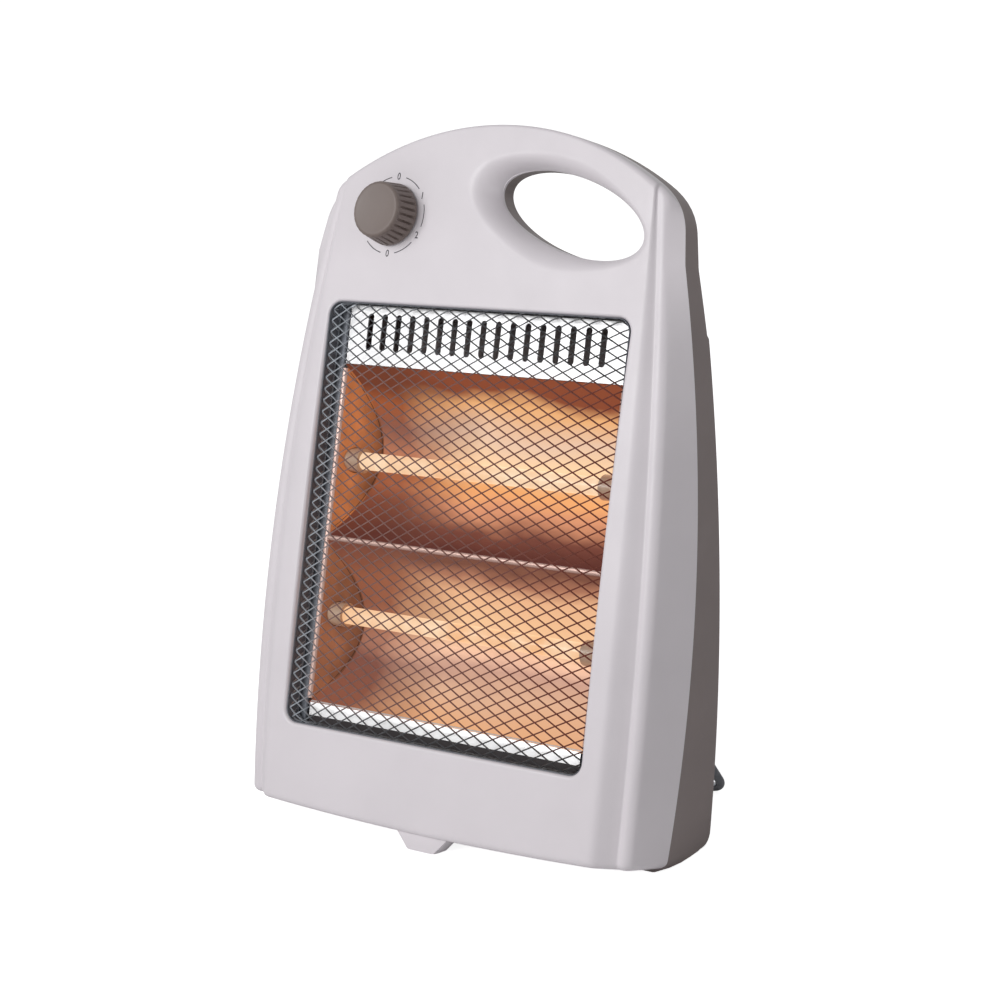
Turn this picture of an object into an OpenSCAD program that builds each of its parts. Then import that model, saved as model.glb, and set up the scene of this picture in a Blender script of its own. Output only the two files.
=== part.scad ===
// Two-bar quartz room heater with a carrying handle, a rotary switch, a folding
// wire stand and a tip-over foot.  Millimetres.
//
// The parts are drawn in the frame of the front face: x runs to the right, y runs
// back from the face and z runs up the face from the lower edge of the window.
// stand_up() then leans that frame back and puts the floor at z = 0.

/* [Stance] */
// Lean of the front face back from upright, degrees
lean = 19; // [15:1:22]
// From the window's lower edge down the face to the floor
floor_drop = 60.2; // [58:0.2:64]

/* [Front outline] */
// Half width of the housing at its widest
side_half = 141.3; // [134:0.5:150]
// Height at which the flanks are widest
side_mid = 60; // [40:5:80]
// Radius of the bowed flanks
side_bow = 1350; // [1200:50:1800]
// Height of the top of the arch above the window's lower edge
arch_top = 341.3; // [334:1:350]
// Radius of the arch
arch_r = 196; // [185:1:210]
// How widely the shoulder rounds the arch into the flank
shoulder = 14; // [8:1:20]
// How far the middle of the lower edge lies below the window
chin = 51; // [48:0.5:54]
// Rise of the lower edge from its middle to the crest of the pillars
chin_rise = 6.5; // [3:0.5:8]
// Radius of the lower corners
corner_r = 16; // [8:1:20]

/* [Front moulding] */
// Wall of both housings
wall = 2.5; // [2:0.1:3]
// Radius of the face's bow from top to bottom
face_bow = 2600; // [2000:100:5000]
// Height of the foremost line of the bowed face
face_mid = 105; // [90:5:120]
// How far that line stands forward of the window's corners
face_fwd = 1.7; // [0.5:0.1:3]
// Half width of the flat field of the face
flat_half = 115.8; // [112:0.2:118]
// Width of the slanting facet beside the flat field
facet_w = 12.7; // [9:0.1:15]
// Depth of the facet's outer edge at the window's lower edge
facet_drop = 8.1; // [5:0.1:10]
// Radius of the pillar's crest
crest_r = 6; // [4.5:0.5:8]
// Width of the small step in front of the crest
step_w = 2.4; // [1:0.1:3]
// Depth of that step
step_d = 0.8; // [0.3:0.1:1.2]

/* [Seam and back] */
// Depth of the seam between the two housings at the bottom
seam_low = 39.2; // [36:0.2:44]
// Least depth of the front housing's rim at the top
rim_top = 9; // [7:0.5:12]
// Depth of the back of the handle
handle_back = 30; // [26:1:34]
// Height of the ledge where the back deepens
ledge_z = 235; // [225:1:245]
// Depth of the ledge
ledge_d = 2.7; // [1.5:0.1:5]
// Depth of the back at the bottom
back_low = 76.5; // [70:0.5:82]
// Height at which that depth is reached
back_low_z = -28; // [-32:1:-24]
// Radius of the back's edges
back_r = 6; // [4.5:0.5:8]
// Radius of the heel where the back meets the base
heel_r = 9; // [6:1:12]

/* [Window and grille] */
// Width of the window
window_w = 205; // [196:1:208]
// Height of the window
window_h = 240; // [220:1:244]
// Corner radius of the window
window_r = 8; // [5:0.5:12]
// Depth of the window's return wall
return_d = 10; // [8:0.5:11]
// Thickness of the window's return wall
return_t = 2; // [1.5:0.1:2.5]
// Length of a mesh diamond
mesh_long = 26; // [24:1:34]
// Height of a mesh diamond
mesh_short = 15; // [14:1:20]
// Width of a mesh strand
strand = 1.6; // [1.2:0.1:2.2]
// Thickness of the mesh sheet
mesh_t = 1.2; // [0.8:0.1:1.6]
// Width of the flange that the mesh is held by
mesh_flange = 4.5; // [3:0.5:6]

/* [Handle] */
// Centre of the hand hole across the housing
hand_x = 49.8; // [44:0.2:54]
// Centre of the hand hole up the face
hand_z = 294.4; // [290:0.2:298]
// Half length of the hand hole
hand_a = 53.2; // [46:0.2:56]
// Half height of the hand hole
hand_b = 20.6; // [17:0.2:22]
// Slope of the hand hole, degrees
hand_tilt = -15.8; // [-18:0.2:-12]
// How far the scooped rim reaches past the hole along it
scoop_a = 5; // [2:0.5:7]
// How far the scooped rim reaches past the hole across it
scoop_b = 4; // [2:0.5:5]
// Sideways shift of the scooped rim
scoop_x = -6; // [-8:0.5:0]
// Depth of the scoop
scoop_d = 10; // [6:0.5:12]

/* [Dial] */
// Place of the dial across the housing
dial_x = -66.6; // [-68:0.2:-60]
// Place of the dial up the face
dial_z = 290.2; // [284:0.2:294]
// Radius of the knob at the housing
knob_r = 17.7; // [15:0.1:19]
// Radius of the knob's flat face
knob_face_r = 15.1; // [13:0.1:17]
// Height of the knob
knob_h = 15.5; // [12:0.5:18]
// Gap under the knob
knob_gap = 0.8; // [0.5:0.1:1.5]
// Number of grip flutes round the knob
flutes = 28; // [20:1:36]
// Radius of the switch's shaft
shaft_r = 3; // [2.5:0.1:3.5]

/* [Reflectors and bars] */
// Half width of the reflector at its front
reflector_half = 95; // [90:1:98]
// Depth of the reflector's front plane behind the face
reflector_y = 12; // [11:0.5:13]
// Depth of each trough
trough_d = 26; // [22:1:28]
// Lower edge of the lower trough
trough_low = 12; // [8:1:16]
// Height of the mouth of the lower trough
trough_h1 = 92; // [86:1:96]
// Height of the divider between the troughs
divider_h = 4; // [3:0.5:6]
// Height of the slotted strip above the troughs
strip_h = 50; // [44:1:54]
// Sheet thickness
sheet = 0.8; // [0.6:0.1:1.2]
// Slant of the reflector's end plates, depth to width
end_slant = 0.5; // [0.3:0.05:0.6]
// Outer radius of a quartz tube
tube_r = 5; // [4.5:0.1:5.5]
// Wall of a quartz tube
tube_wall = 1.2; // [1:0.1:1.5]
// Half length of a quartz tube
tube_half = 92; // [88:1:94]
// Depth of the bars behind the face
bar_y = 23.5; // [22:0.5:26]
// Height of the lower bar
bar_low = 63; // [56:1:68]
// Height of the upper bar
bar_high = 151.5; // [146:0.5:158]
// Outer radius of a heating coil
coil_r = 3; // [2.4:0.1:3.2]
// Number of slots in the vent strip
slots = 17; // [11:2:19]
// Pitch of those slots
slot_pitch = 10; // [9:0.5:10]
// Width of a slot
slot_w = 4; // [3:0.5:5]
// Length of a slot
slot_l = 21; // [16:1:24]

/* [Wire stand] */
// Radius of the wire
wire_r = 2.5; // [2:0.1:3]
// Half width of the stand between leg centres
stand_half = 105; // [98:1:110]
// Height of the stand's pivot up the face
stand_z = 40; // [36:1:46]
// Distance of the pivot behind the back
stand_off = 5.4; // [4.5:0.1:7]
// Depth of the crossbar behind the face
bar_reach = 130; // [120:1:136]
// Bend radius of the wire
bend_r = 12; // [9:1:16]

/* [Tip-over foot] */
// Width of the foot where it leaves the housing
foot_w = 38; // [32:1:42]
// Width of the foot at the floor
foot_tip_w = 24; // [20:1:28]
// Thickness of the foot
foot_t = 9; // [7:0.5:11]
// Corner radius of the foot
foot_r = 3.5; // [2:0.5:5]
// Travel of the foot
foot_travel = 4; // [3:0.5:5]

/* [Clearances] */
// Gap between pieces that fit each other
fit = 0.3; // [0.2:0.05:0.4]
// Radial gap between a shaft or screw and its hole
running = 0.05; // [0.03:0.01:0.09]

/* [Fasteners] */
// Radius of a screw's shank
screw_r = 1.8; // [1.6:0.1:2]
// Radius of a screw's head
screw_head_r = 3.4; // [3:0.1:3.8]
// Height of a screw's head
screw_head_h = 2.4; // [2:0.1:2.8]
// Radius of the cord inlet's bore
inlet_r = 3.5; // [3:0.1:4]

/* [Hidden] */
$fn = 48;
eps = 0.01;

// ---- Form of the housings ------------------------------------------------------

// Least of two lengths, rounded where they cross
function soft_min(a, b, k) = min(a, b) - pow(max(k - abs(a - b), 0), 2) / (4 * k);

// Depth of the bowed face
function face_y(z) = pow(z - face_mid, 2) / (2 * face_bow) - face_fwd;
// Slope of the bowed face, degrees back from the frame's own z
function face_slope(z) = atan((z - face_mid) / face_bow);

// Half width of the bowed flank, with the lower corner drawn in
corner_z = -chin + chin_rise + corner_r;
function corner_in(z) = z > corner_z ? 0
  : corner_r - sqrt(max(pow(corner_r, 2) - pow(min(corner_z - z, corner_r), 2), 0));
function flank_x(z) = side_half - pow(z - side_mid, 2) / (2 * side_bow) - corner_in(z);
arch_mid = arch_top - arch_r;
function arch_x(z, t) = z < arch_mid ? arch_r - t
  : sqrt(max(pow(arch_r - t, 2) - pow(z - arch_mid, 2), 0));
function outline_x(z, t = 0) = soft_min(flank_x(z) - t, arch_x(z, t), shoulder);

// Pillar: the flat field, the facet, the step, the crest and the side panel
facet_fade = 0.000105;
drop_fade = 0.0204;
least_facet = 3;
function flat_x(z) = flat_half - pow(z - 65, 2) / 5600;
function facet(z) = max(facet_w - facet_fade * z * z, least_facet);
function drop(z) = max(facet_drop - drop_fade * z, 0.8);
function step(z) = step_d * drop(z) / facet_drop;

// Depth of the seam and of the back
seam_fade = 0.000245;
function seam_y(z) = max(seam_low - seam_fade * pow(z + 60, 2), face_y(z) + rim_top);
back_slope = (back_low - handle_back - ledge_d) / (ledge_z - back_low_z);
function back_flat(z) = z > ledge_z ? handle_back
  : handle_back + ledge_d + back_slope * (ledge_z - z);
heel_z = back_low_z + 6;
function back_y(z) = z > heel_z ? back_flat(z)
  : back_flat(z) - heel_r + sqrt(max(pow(heel_r, 2) - pow(min(heel_z - z, heel_r), 2), 0));

// Levels of the slices: close together at the corners, the ledge and the arch
low_levels = [-62, -53, -47, -43, -39, -35, -30, -22, -10, 20, 50, 80, 110, 140, 170, 200, 220,
  ledge_z - 0.4, ledge_z + 0.8, 250, 265, 280, 290];
arch_angles = [37, 34, 31, 28, 24, 20, 16, 12, 8, 4.5, 2];
function levels(t) = concat(low_levels, [for (a = arch_angles) arch_mid + (arch_r - t) * cos(a)]);

// Right half of a slice of the front housing, t inside its outer surface
arc_steps = 4;
function front_half(z, t) =
  let (full = flank_x(z),
    k = outline_x(z) / full,
    crest = (flat_x(z) + facet(z)) * k,
    y0 = face_y(z),
    yc = y0 + drop(z),
    edge = outline_x(z, t),
    ys = seam_y(z),
    turn = atan2(ys - yc - crest_r * 0.7, max(outline_x(z) - crest - crest_r * 0.95, 0.3)),
    bend = min(turn, 88))
  concat(
    [[min(flat_x(z) * k - 0.2 * t, edge - 0.35), y0 + t],
      [min(crest - step_w * k - 0.2 * t, edge - 0.3), yc + step(z) + t]],
    [for (i = [0:arc_steps]) let (a = bend * i / arc_steps)
      [min(crest + (crest_r - t) * sin(a) * k, edge - 0.05 * (arc_steps - i)),
        yc + crest_r - (crest_r - t) * cos(a)]],
    t > 0 ? [[edge, ys - 1], [edge, ys + wall]] : [[edge, ys]]);

// Right half of a slice of the rear housing
draft = 1.5;
function rear_half(z, t) =
  let (edge = outline_x(z, t), r = back_r - t, yb = back_y(z) - t)
  concat(
    t > 0 ? [[edge, seam_y(z) - wall], [edge, seam_y(z) + 1]] : [[edge, seam_y(z)]],
    [for (i = [0:arc_steps]) let (a = 90 * i / arc_steps)
      [max(edge - draft - r * (1 - cos(a)), 0.1 + 0.05 * (arc_steps - i)),
        yb - r * (1 - sin(a))]]);

function mirrored(half) = [for (i = [len(half) - 1:-1:0]) [-half[i].x, half[i].y]];
function backwards(list) = [for (i = [len(list) - 1:-1:0]) list[i]];

// Skins a stack of slices; each runs the same way round and has as many points
module loft(slices, heights) {
  n = len(slices[0]);
  m = len(slices);
  points = [for (i = [0:m - 1], p = slices[i]) [p.x, p.y, heights[i]]];
  // The panels that cross the middle are flat, so they stay whole
  sides = [for (i = [0:m - 2], j = [0:n - 1]) let (a = i * n + j, b = i * n + (j + 1) % n)
    each (j == n - 1 || j == n / 2 - 1) ? [[a, a + n, b + n, b]]
      : [[a, a + n, b + n], [a, b + n, b]]];
  // The end slices are closed by strips from one half to the other
  caps = [for (j = [0:n / 2 - 2]) let (q = [j, j + 1, n - 2 - j, n - 1 - j], top = (m - 1) * n)
    each [q, [for (i = [3:-1:0]) q[i] + top]]];
  polyhedron(points = points, faces = concat(caps, sides), convexity = 8);
}

module front_loft(t) {
  z = levels(t);
  loft([for (h = z) concat(mirrored(front_half(h, t)), front_half(h, t))], z);
}

module rear_loft(t) {
  z = levels(t);
  // The slice runs from the right seam edge round the back to the left one
  loft([for (h = z) let (half = rear_half(h, t)) concat(half, mirrored(half))], z);
}

// ---- Helpers -------------------------------------------------------------------

depth_front = face_y(-chin) * cos(lean) - chin * sin(lean);
depth_back = handle_back * cos(lean) + arch_top * sin(lean);
module stand_up() {
  translate([0, -(depth_front + depth_back) / 2, floor_drop * cos(lean)])
    rotate([-lean, 0, 0]) children();
}

// Height of the floor in the face's frame
function floor_z(y) = -floor_drop + y * tan(lean);

// Extrudes a drawing in the face's plane from depth y0 to y1
module from_front(y0, y1) {
  translate([0, y1, 0]) rotate([90, 0, 0]) linear_extrude(height = y1 - y0) children();
}

// Extrudes a drawing of (y, z) from x0 to x1
module from_side(x0, x1) {
  translate([x0, 0, 0]) rotate([90, 0, 90]) linear_extrude(height = x1 - x0) children();
}

// A rod from a to b
module rod(a, b, r) {
  d = b - a;
  translate(a) rotate([0, acos(d.z / norm(d)), atan2(d.y, d.x)]) cylinder(r = r, h = norm(d));
}

// A rod along x, about the height z and the depth y
module cross_rod(x0, x1, y, z, r) {
  translate([x0, y, z]) rotate([0, 90, 0]) cylinder(r = r, h = x1 - x0);
}

// A rod along y
module deep_rod(x, z, y0, y1, r) {
  translate([x, y1, z]) rotate([90, 0, 0]) cylinder(r = r, h = y1 - y0);
}

module both_sides() {
  children();
  mirror([1, 0, 0]) children();
}

// Everything under the floor and lift above it
module under_floor(lift = 0) {
  from_side(-200, 200) polygon([[-60, floor_z(-60) + lift], [160, floor_z(160) + lift],
    [160, -200], [-60, -200]]);
}

// Everything under the front housing's lower edge, and lift above it
function chin_z(x) = -chin + chin_rise * pow(x / 115, 2);
module under_chin(lift = 0) {
  from_front(-40, 160) polygon(concat([[-170, -200]],
    [for (x = [-170:20:170]) [x, chin_z(x) + lift]], [[170, -200]]));
}

module window_outline(grow) {
  r = window_r + grow;
  x = window_w / 2 + grow - r;
  z0 = -grow + r;
  z1 = window_h + grow - r;
  for (sx = [-x, x], sz = [z0, z1]) translate([sx, sz]) circle(r = r);
  translate([-x, -grow]) square([2 * x, window_h + 2 * grow]);
  translate([-x - r, z0]) square([2 * x + 2 * r, z1 - z0]);
}

ellipse_n = 44;
module hand_outline(a, b) {
  polygon([for (i = [0:ellipse_n - 1]) let (k = 360 * i / ellipse_n)
    [a * cos(k), b * sin(k)]]);
}
module hand_at(x) {
  translate([x, hand_z]) rotate(hand_tilt) children();
}
hand_face = face_y(hand_z);
scoop_back = hand_face + scoop_d;

// The scoop: a skewed funnel from the rim on the face to the hole behind it
module scoop(grow) {
  hull() {
    from_front(hand_face - 6, hand_face - 5.9)
      hand_at(hand_x + scoop_x * 1.5)
        hand_outline(hand_a + scoop_a * 1.5 + grow, hand_b + scoop_b * 1.5 + grow);
    from_front(scoop_back, scoop_back + 0.1)
      hand_at(hand_x) hand_outline(hand_a + 0.2 + grow, hand_b + 0.2 + grow);
  }
}

// ---- Fastener places -----------------------------------------------------------

// Housing screws: x and z of the right-hand ones
screw_places = [[112, 258], [126, 120], [121, -8]];
post_r = 4.6;
sleeve_r = 5.6;
head_seat = 3;
reflector_screw_places = [[80, window_h + 9.5], [80, -13]];
shield_places = [[98, 70], [98, 165]];

// ---- Housings ------------------------------------------------------------------

seam_gap = 0.1;
collar_back = 18;
// Posts and the handle's collar; their front ends are buried in the wall
module front_inside() {
  both_sides() {
    for (p = screw_places)
      deep_rod(p.x, p.y, face_y(p.y) + drop(p.y) + 2, seam_y(p.y) - seam_gap, post_r);
    for (p = reflector_screw_places)
      deep_rod(p.x, p.y, face_y(p.y) + wall / 2, reflector_y, post_r - 1);
  }
  for (x = [-bracket_pin_x, bracket_pin_x]) out_of_dial() {
    translate([x, 0, -bracket_depth]) cylinder(r = 3, h = bracket_depth - wall / 2);
    translate([x, 0, -bracket_depth - 2]) cylinder(r = 1.4, h = 3);
  }
  intersection() {
    from_front(0, collar_back)
      hand_at(hand_x + scoop_x / 2) hand_outline(hand_a + 8, hand_b + 6.5);
    translate([0, hand_face, hand_z]) rotate([-face_slope(hand_z), 0, 0])
      translate([-200, wall / 2, -100]) cube([400, 60, 200]);
  }
}

module front_housing() {
  color("#dad5db") difference() {
    union() {
      difference() {
        front_loft(0);
        difference() {
          front_loft(wall);
          under_chin(wall);
          under_floor(wall);
        }
      }
      from_front(face_y(0) - eps, return_d) window_outline(return_t);
      front_inside();
    }
    under_chin();
    under_floor();
    from_front(-20, 60) window_outline(0);
    scoop(0);
    from_front(0, 60) hand_at(hand_x) hand_outline(hand_a, hand_b);
    both_sides() for (p = screw_places)
      deep_rod(p.x, p.y, seam_y(p.y) - 12, 60, screw_r + running);
    both_sides() for (p = reflector_screw_places)
      deep_rod(p.x, p.y, reflector_y - 7, 60, screw_r + running);
    on_dial() rotate([90, 0, 0]) translate([0, 0, -12]) cylinder(r = shaft_r + 1.5, h = 24);
    foot_slot();
  }
}

module vent_slots() {
  // Two fields of level slots high on the back and one low field
  for (row = [0:6], col = [-1, 1])
    from_front(20, 90) translate([col * 42 - 32, 158 + row * 9]) square([64, 4]);
  for (row = [0:3]) from_front(30, 110) translate([-45, -4 + row * 9]) square([90, 4]);
}

module rear_housing() {
  color("#6f6765") difference() {
    union() {
      difference() {
        rear_loft(0);
        difference() {
          rear_loft(wall);
          under_floor(wall);
        }
      }
      from_front(collar_back + seam_gap, handle_back - 1)
        hand_at(hand_x) hand_outline(hand_a + 2.2, hand_b + 2.2);
      both_sides() for (p = screw_places)
        deep_rod(p.x, p.y, seam_y(p.y) + seam_gap, back_flat(p.y) - 1.5, sleeve_r);
      both_sides() for (p = shield_places)
        on_back(p.x, p.y) deep_rod(0, 0, -shield_off + sheet + 0.01, -1, 3.4);
      on_back(gland_x, gland_z) deep_rod(0, 0, -8, -1, inlet_r + 5);
    }
    under_floor();
    from_front(-20, 60) hand_at(hand_x) hand_outline(hand_a, hand_b);
    both_sides() for (p = screw_places) {
      deep_rod(p.x, p.y, 0, 120, screw_r + 0.4);
      deep_rod(p.x, p.y, seam_y(p.y) + head_seat, 120, screw_head_r + 0.4);
    }
    both_sides() for (p = shield_places)
      on_back(p.x, p.y) deep_rod(0, 0, -30, -1.1, screw_r + running);
    on_back(gland_x, gland_z) deep_rod(0, 0, -20, 10, inlet_r + 2 + running);
    vent_slots();
    both_sides() for (s = [-1, 1])
      clip_screw_hole(s);
  }
}

// ---- Grille --------------------------------------------------------------------

mesh_y = 1.6;
mesh_grow = -fit;
flange_y = return_d + running;
module diamonds() {
  cols = ceil(window_w / mesh_long) + 1;
  rows = ceil(window_h / mesh_short) + 1;
  a = (mesh_long - strand * 2) / 2;
  b = (mesh_short - strand * 1.2) / 2;
  for (i = [-cols:cols], j = [0:2 * rows])
    if ((i + j) % 2 == 0) translate([i * mesh_long / 2, j * mesh_short / 2])
      polygon([[a, 0], [0, b], [-a, 0], [0, -b]]);
}
module grille_mesh() {
  skirt = 1;
  color("#9aa0a6") union() {
    from_front(mesh_y, mesh_y + mesh_t) difference() {
      window_outline(mesh_grow);
      intersection() {
        diamonds();
        window_outline(mesh_grow - 2.4);
      }
    }
    difference() {
      from_front(mesh_y, flange_y + mesh_t) window_outline(mesh_grow);
      from_front(mesh_y - 1, flange_y + mesh_t + 1) window_outline(mesh_grow - skirt);
      // The bent edge is open between the strands
      for (i = [-8:8]) translate([i * mesh_long / 2 - 4, mesh_y + 2.6, -20])
        cube([8, 4.4, window_h + 40]);
      for (j = [1:15]) translate([-150, mesh_y + 2.6, j * 15 - 4.5])
        cube([300, 4.4, 8]);
    }
    from_front(flange_y, flange_y + mesh_t) difference() {
      window_outline(mesh_flange);
      window_outline(mesh_grow - skirt);
    }
  }
}

// ---- Reflectors ----------------------------------------------------------------

strip_top = window_h + 15;
upper_low = trough_low + trough_h1 + divider_h;
upper_top = strip_top - strip_h;
trough_h2 = upper_top - upper_low;
trough_n = 20;
function trough_x(y) = reflector_half - end_slant * (y - reflector_y);
function trough_pt(z0, h, s, t) = [reflector_y + trough_d * (1 - s * s) + t * (1 - s * s * 0.3),
  z0 + h / 2 + s * (h / 2 + t * abs(s))];
// A trough's sheet; above and below are the points of the flanges at its two edges
module trough_line(z0, h, above, below) {
  polygon(concat(
    [for (i = [0:trough_n]) trough_pt(z0, h, -1 + 2 * i / trough_n, 0)],
    above,
    [for (i = [trough_n - 1:-1:1]) trough_pt(z0, h, -1 + 2 * i / trough_n, sheet)],
    below));
}
// The troughs end on the slanting end plates
module between_ends(shrink) {
  translate([0, 0, -40]) linear_extrude(height = 340) polygon([
    [-trough_x(0) + shrink, 0], [trough_x(0) - shrink, 0],
    [trough_x(60) - shrink, 60], [-trough_x(60) + shrink, 60]]);
}

module vent_strip() {
  color("#d9dcdf") difference() {
    from_front(reflector_y, reflector_y + sheet)
      translate([-reflector_half, upper_top + sheet]) square([2 * reflector_half, strip_top - upper_top - sheet]);
    for (i = [0:slots - 1]) translate([(i - (slots - 1) / 2) * slot_pitch, 0, upper_top + 9])
      from_front(0, 30) {
        translate([0, slot_w / 2]) circle(d = slot_w);
        translate([0, slot_l - slot_w / 2]) circle(d = slot_w);
        translate([-slot_w / 2, slot_w / 2]) square([slot_w, slot_l - slot_w]);
      }
    both_sides() deep_rod(reflector_screw_places[0].x, reflector_screw_places[0].y, 0, 30,
      screw_r + running);
  }
}

behind = reflector_y + sheet + running;
module upper_reflector() {
  color("#e2a06a") intersection() {
    between_ends(sheet);
    from_side(-120, 120) trough_line(upper_low, trough_h2,
      [[behind, upper_top + 1], [behind, upper_top + 6], [behind + sheet, upper_top + 6],
        [behind + sheet, upper_top - 0.4]],
      [[reflector_y + 0.55, upper_low - sheet]]);
  }
}

module lower_reflector() {
  color("#e2a06a") difference() {
    intersection() {
      between_ends(sheet);
      union() {
        from_side(-120, 120) trough_line(trough_low, trough_h1,
          [[reflector_y, upper_low - sheet - 0.1], [reflector_y + sheet, upper_low - sheet - 0.1],
            [reflector_y + sheet, upper_low - divider_h + 0.5]],
          [[reflector_y + sheet, trough_low - 0.5], [reflector_y + sheet, -5], [reflector_y, -5]]);
        // Ears for the screws
        both_sides() from_front(reflector_y, reflector_y + sheet)
          translate([reflector_screw_places[1].x - 7, -18]) square([14, 14]);
      }
    }
    both_sides() deep_rod(reflector_screw_places[1].x, reflector_screw_places[1].y, 0, 30,
      screw_r + running);
  }
}

end_depth = reflector_y + trough_d + 2;
end_rim = 1.1;
function rim_pt(z0, h, s) = let (p = trough_pt(z0, h, s, sheet + end_rim - 0.8))
  [max(p.x, reflector_y + 2 * sheet), p.y];
// Slanting end plates, cut to the outline of the two troughs
module reflector_ends() {
  y0 = reflector_y + sheet + running;
  color("#c98a5a") both_sides() difference() {
    intersection() {
      translate([0, 0, -6]) linear_extrude(height = upper_top + 8) polygon([
        [trough_x(y0), y0], [trough_x(end_depth), end_depth],
        [trough_x(end_depth) - sheet, end_depth], [trough_x(y0) - sheet, y0]]);
      from_side(60, 120) polygon(concat([[y0 - 1, trough_low + 1]],
        [for (i = [1:trough_n - 1]) rim_pt(trough_low, trough_h1, -1 + 2 * i / trough_n)],
        [for (i = [1:trough_n - 1]) rim_pt(upper_low, trough_h2, -1 + 2 * i / trough_n)],
        [[y0 - 1, upper_top - 1]]));
    }
    for (z = [bar_low, bar_high]) cross_rod(60, bracket_x + 20, bar_y, z, cap_r + fit);
  }
}

// ---- Bars ----------------------------------------------------------------------

cap_r = 7;
cap_grip = 9;
bracket_x = tube_half + 5;
module bar_tube(z) {
  color([1, 0.72, 0.42]) difference() {
    cross_rod(-tube_half, tube_half, bar_y, z, tube_r);
    cross_rod(-tube_half - 1, tube_half + 1, bar_y, z, tube_r - tube_wall);
  }
}
module bar_coil(z) {
  color("#ff8a30") difference() {
    cross_rod(-tube_half + 2, tube_half - 2, bar_y, z, coil_r);
    cross_rod(-tube_half, tube_half, bar_y, z, coil_r - 1);
  }
}
module bar_caps(z) {
  color("#e8e2d6") both_sides() difference() {
    union() {
      cross_rod(tube_half - cap_grip, bracket_x + 5, bar_y, z, cap_r);
      cross_rod(bracket_x + 1, bracket_x + 4, bar_y, z, cap_r + 1.8);
    }
    cross_rod(tube_half - cap_grip - 3, tube_half + running, bar_y, z, tube_r + running);
    cross_rod(tube_half - cap_grip - 3, bracket_x + 20, bar_y, z, pin_r + running);
  }
}
pin_r = 1.5;
module bar_terminals() {
  color("#b9b9b4") for (z = [bar_low, bar_high]) both_sides() {
    cross_rod(tube_half - 2, bracket_x + 14, bar_y, z, pin_r);
  }
}
module upper_quartz_tube() bar_tube(bar_high);
module lower_quartz_tube() bar_tube(bar_low);
module upper_heating_coil() bar_coil(bar_high);
module lower_heating_coil() bar_coil(bar_low);
module upper_end_caps() bar_caps(bar_high);
module lower_end_caps() bar_caps(bar_low);

// Steel brackets that hold the caps; their ears sit behind the reflector's edges
module end_brackets() {
  y0 = reflector_y + sheet;
  low = reflector_screw_places[1].y - 6;
  high = reflector_screw_places[0].y + 5;
  color("#9da1a4") both_sides() difference() {
    union() {
      from_side(bracket_x, bracket_x + 1) polygon([[y0, low], [y0 + 20, low], [y0 + 20, bar_high + 20],
        [y0 + 8, bar_high + 45], [y0 + 8, high], [y0, high]]);
      for (p = reflector_screw_places)
        from_front(y0, y0 + 1) translate([p.x - 6, p.y - 5]) square([bracket_x - p.x + 6 + eps, 10]);
    }
    for (z = [bar_low, bar_high]) cross_rod(60, bracket_x + 20, bar_y, z, cap_r + running);
    for (p = reflector_screw_places) deep_rod(p.x, p.y, 0, 60, screw_r + running);
  }
}

module reflector_screws() {
  y0 = reflector_y + sheet + 1;
  color("#c4c6c8") both_sides() for (p = reflector_screw_places) {
    deep_rod(p.x, p.y, reflector_y - 6, y0 + eps, screw_r);
    deep_rod(p.x, p.y, y0, y0 + screw_head_h, screw_head_r);
  }
}

// ---- Dial ----------------------------------------------------------------------

dial_slope = face_slope(dial_z);
// A frame on the face at the dial: y runs into the housing, square to the face
module on_dial() {
  translate([dial_x, face_y(dial_z), dial_z]) rotate([-dial_slope, 0, 0]) children();
}
// Turns a drawing whose z runs out of the housing to the dial
module out_of_dial() {
  on_dial() rotate([90, 0, 0]) children();
}
shaft_out = 9;
// The switch hangs behind a bracket on two posts of the housing
bracket_pin_x = 17;
bracket_t = 1.2;
bracket_depth = wall + 3;
module control_knob() {
  color("#8a8076") out_of_dial() difference() {
    translate([0, 0, knob_gap]) rotate_extrude($fn = 64) polygon([[0, 0], [knob_r, 0],
      [knob_r, 1.2], [knob_face_r + 0.7, knob_h - 0.8], [knob_face_r - 0.4, knob_h], [0, knob_h]]);
    for (i = [0:flutes - 1]) rotate(360 * (i + 0.5) / flutes)
      translate([knob_r + 0.2, 0, knob_gap + 1.6]) rotate([0, -8.2, 0])
        cylinder(r = 0.95, h = knob_h - 3.4, $fn = 16);
    translate([0, 0, -1]) cylinder(r = shaft_r + running, h = shaft_out + 1 + running);
  }
}
module switch_shaft() {
  color("#b9b9b4") out_of_dial() translate([0, 0, -18]) cylinder(r = shaft_r, h = 18 + shaft_out);
}
module rotary_switch() {
  color("#3a3a3c") out_of_dial() difference() {
    union() {
      translate([-14, -14, -20]) cube([28, 28, 20 - bracket_depth - bracket_t]);
      translate([0, 0, -bracket_depth - bracket_t - 1]) cylinder(r = 5.5, h = bracket_t + 3);
      for (x = [-9, 0, 9]) translate([x - 2.4, -20, -14]) cube([4.8, 7, 0.9]);
    }
    translate([0, 0, -18 - running]) cylinder(r = shaft_r + running, h = 30);
  }
}
module switch_bracket() {
  color("#9da1a4") out_of_dial() difference() {
    translate([-bracket_pin_x - 4, -9, -bracket_depth - bracket_t])
      cube([2 * bracket_pin_x + 8, 18, bracket_t]);
    translate([0, 0, -20]) cylinder(r = 5.5 + running, h = 30);
    for (x = [-bracket_pin_x, bracket_pin_x])
      translate([x, 0, -20]) cylinder(r = 1.4 + running, h = 30);
  }
}

// ---- Tip-over foot -------------------------------------------------------------

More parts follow.
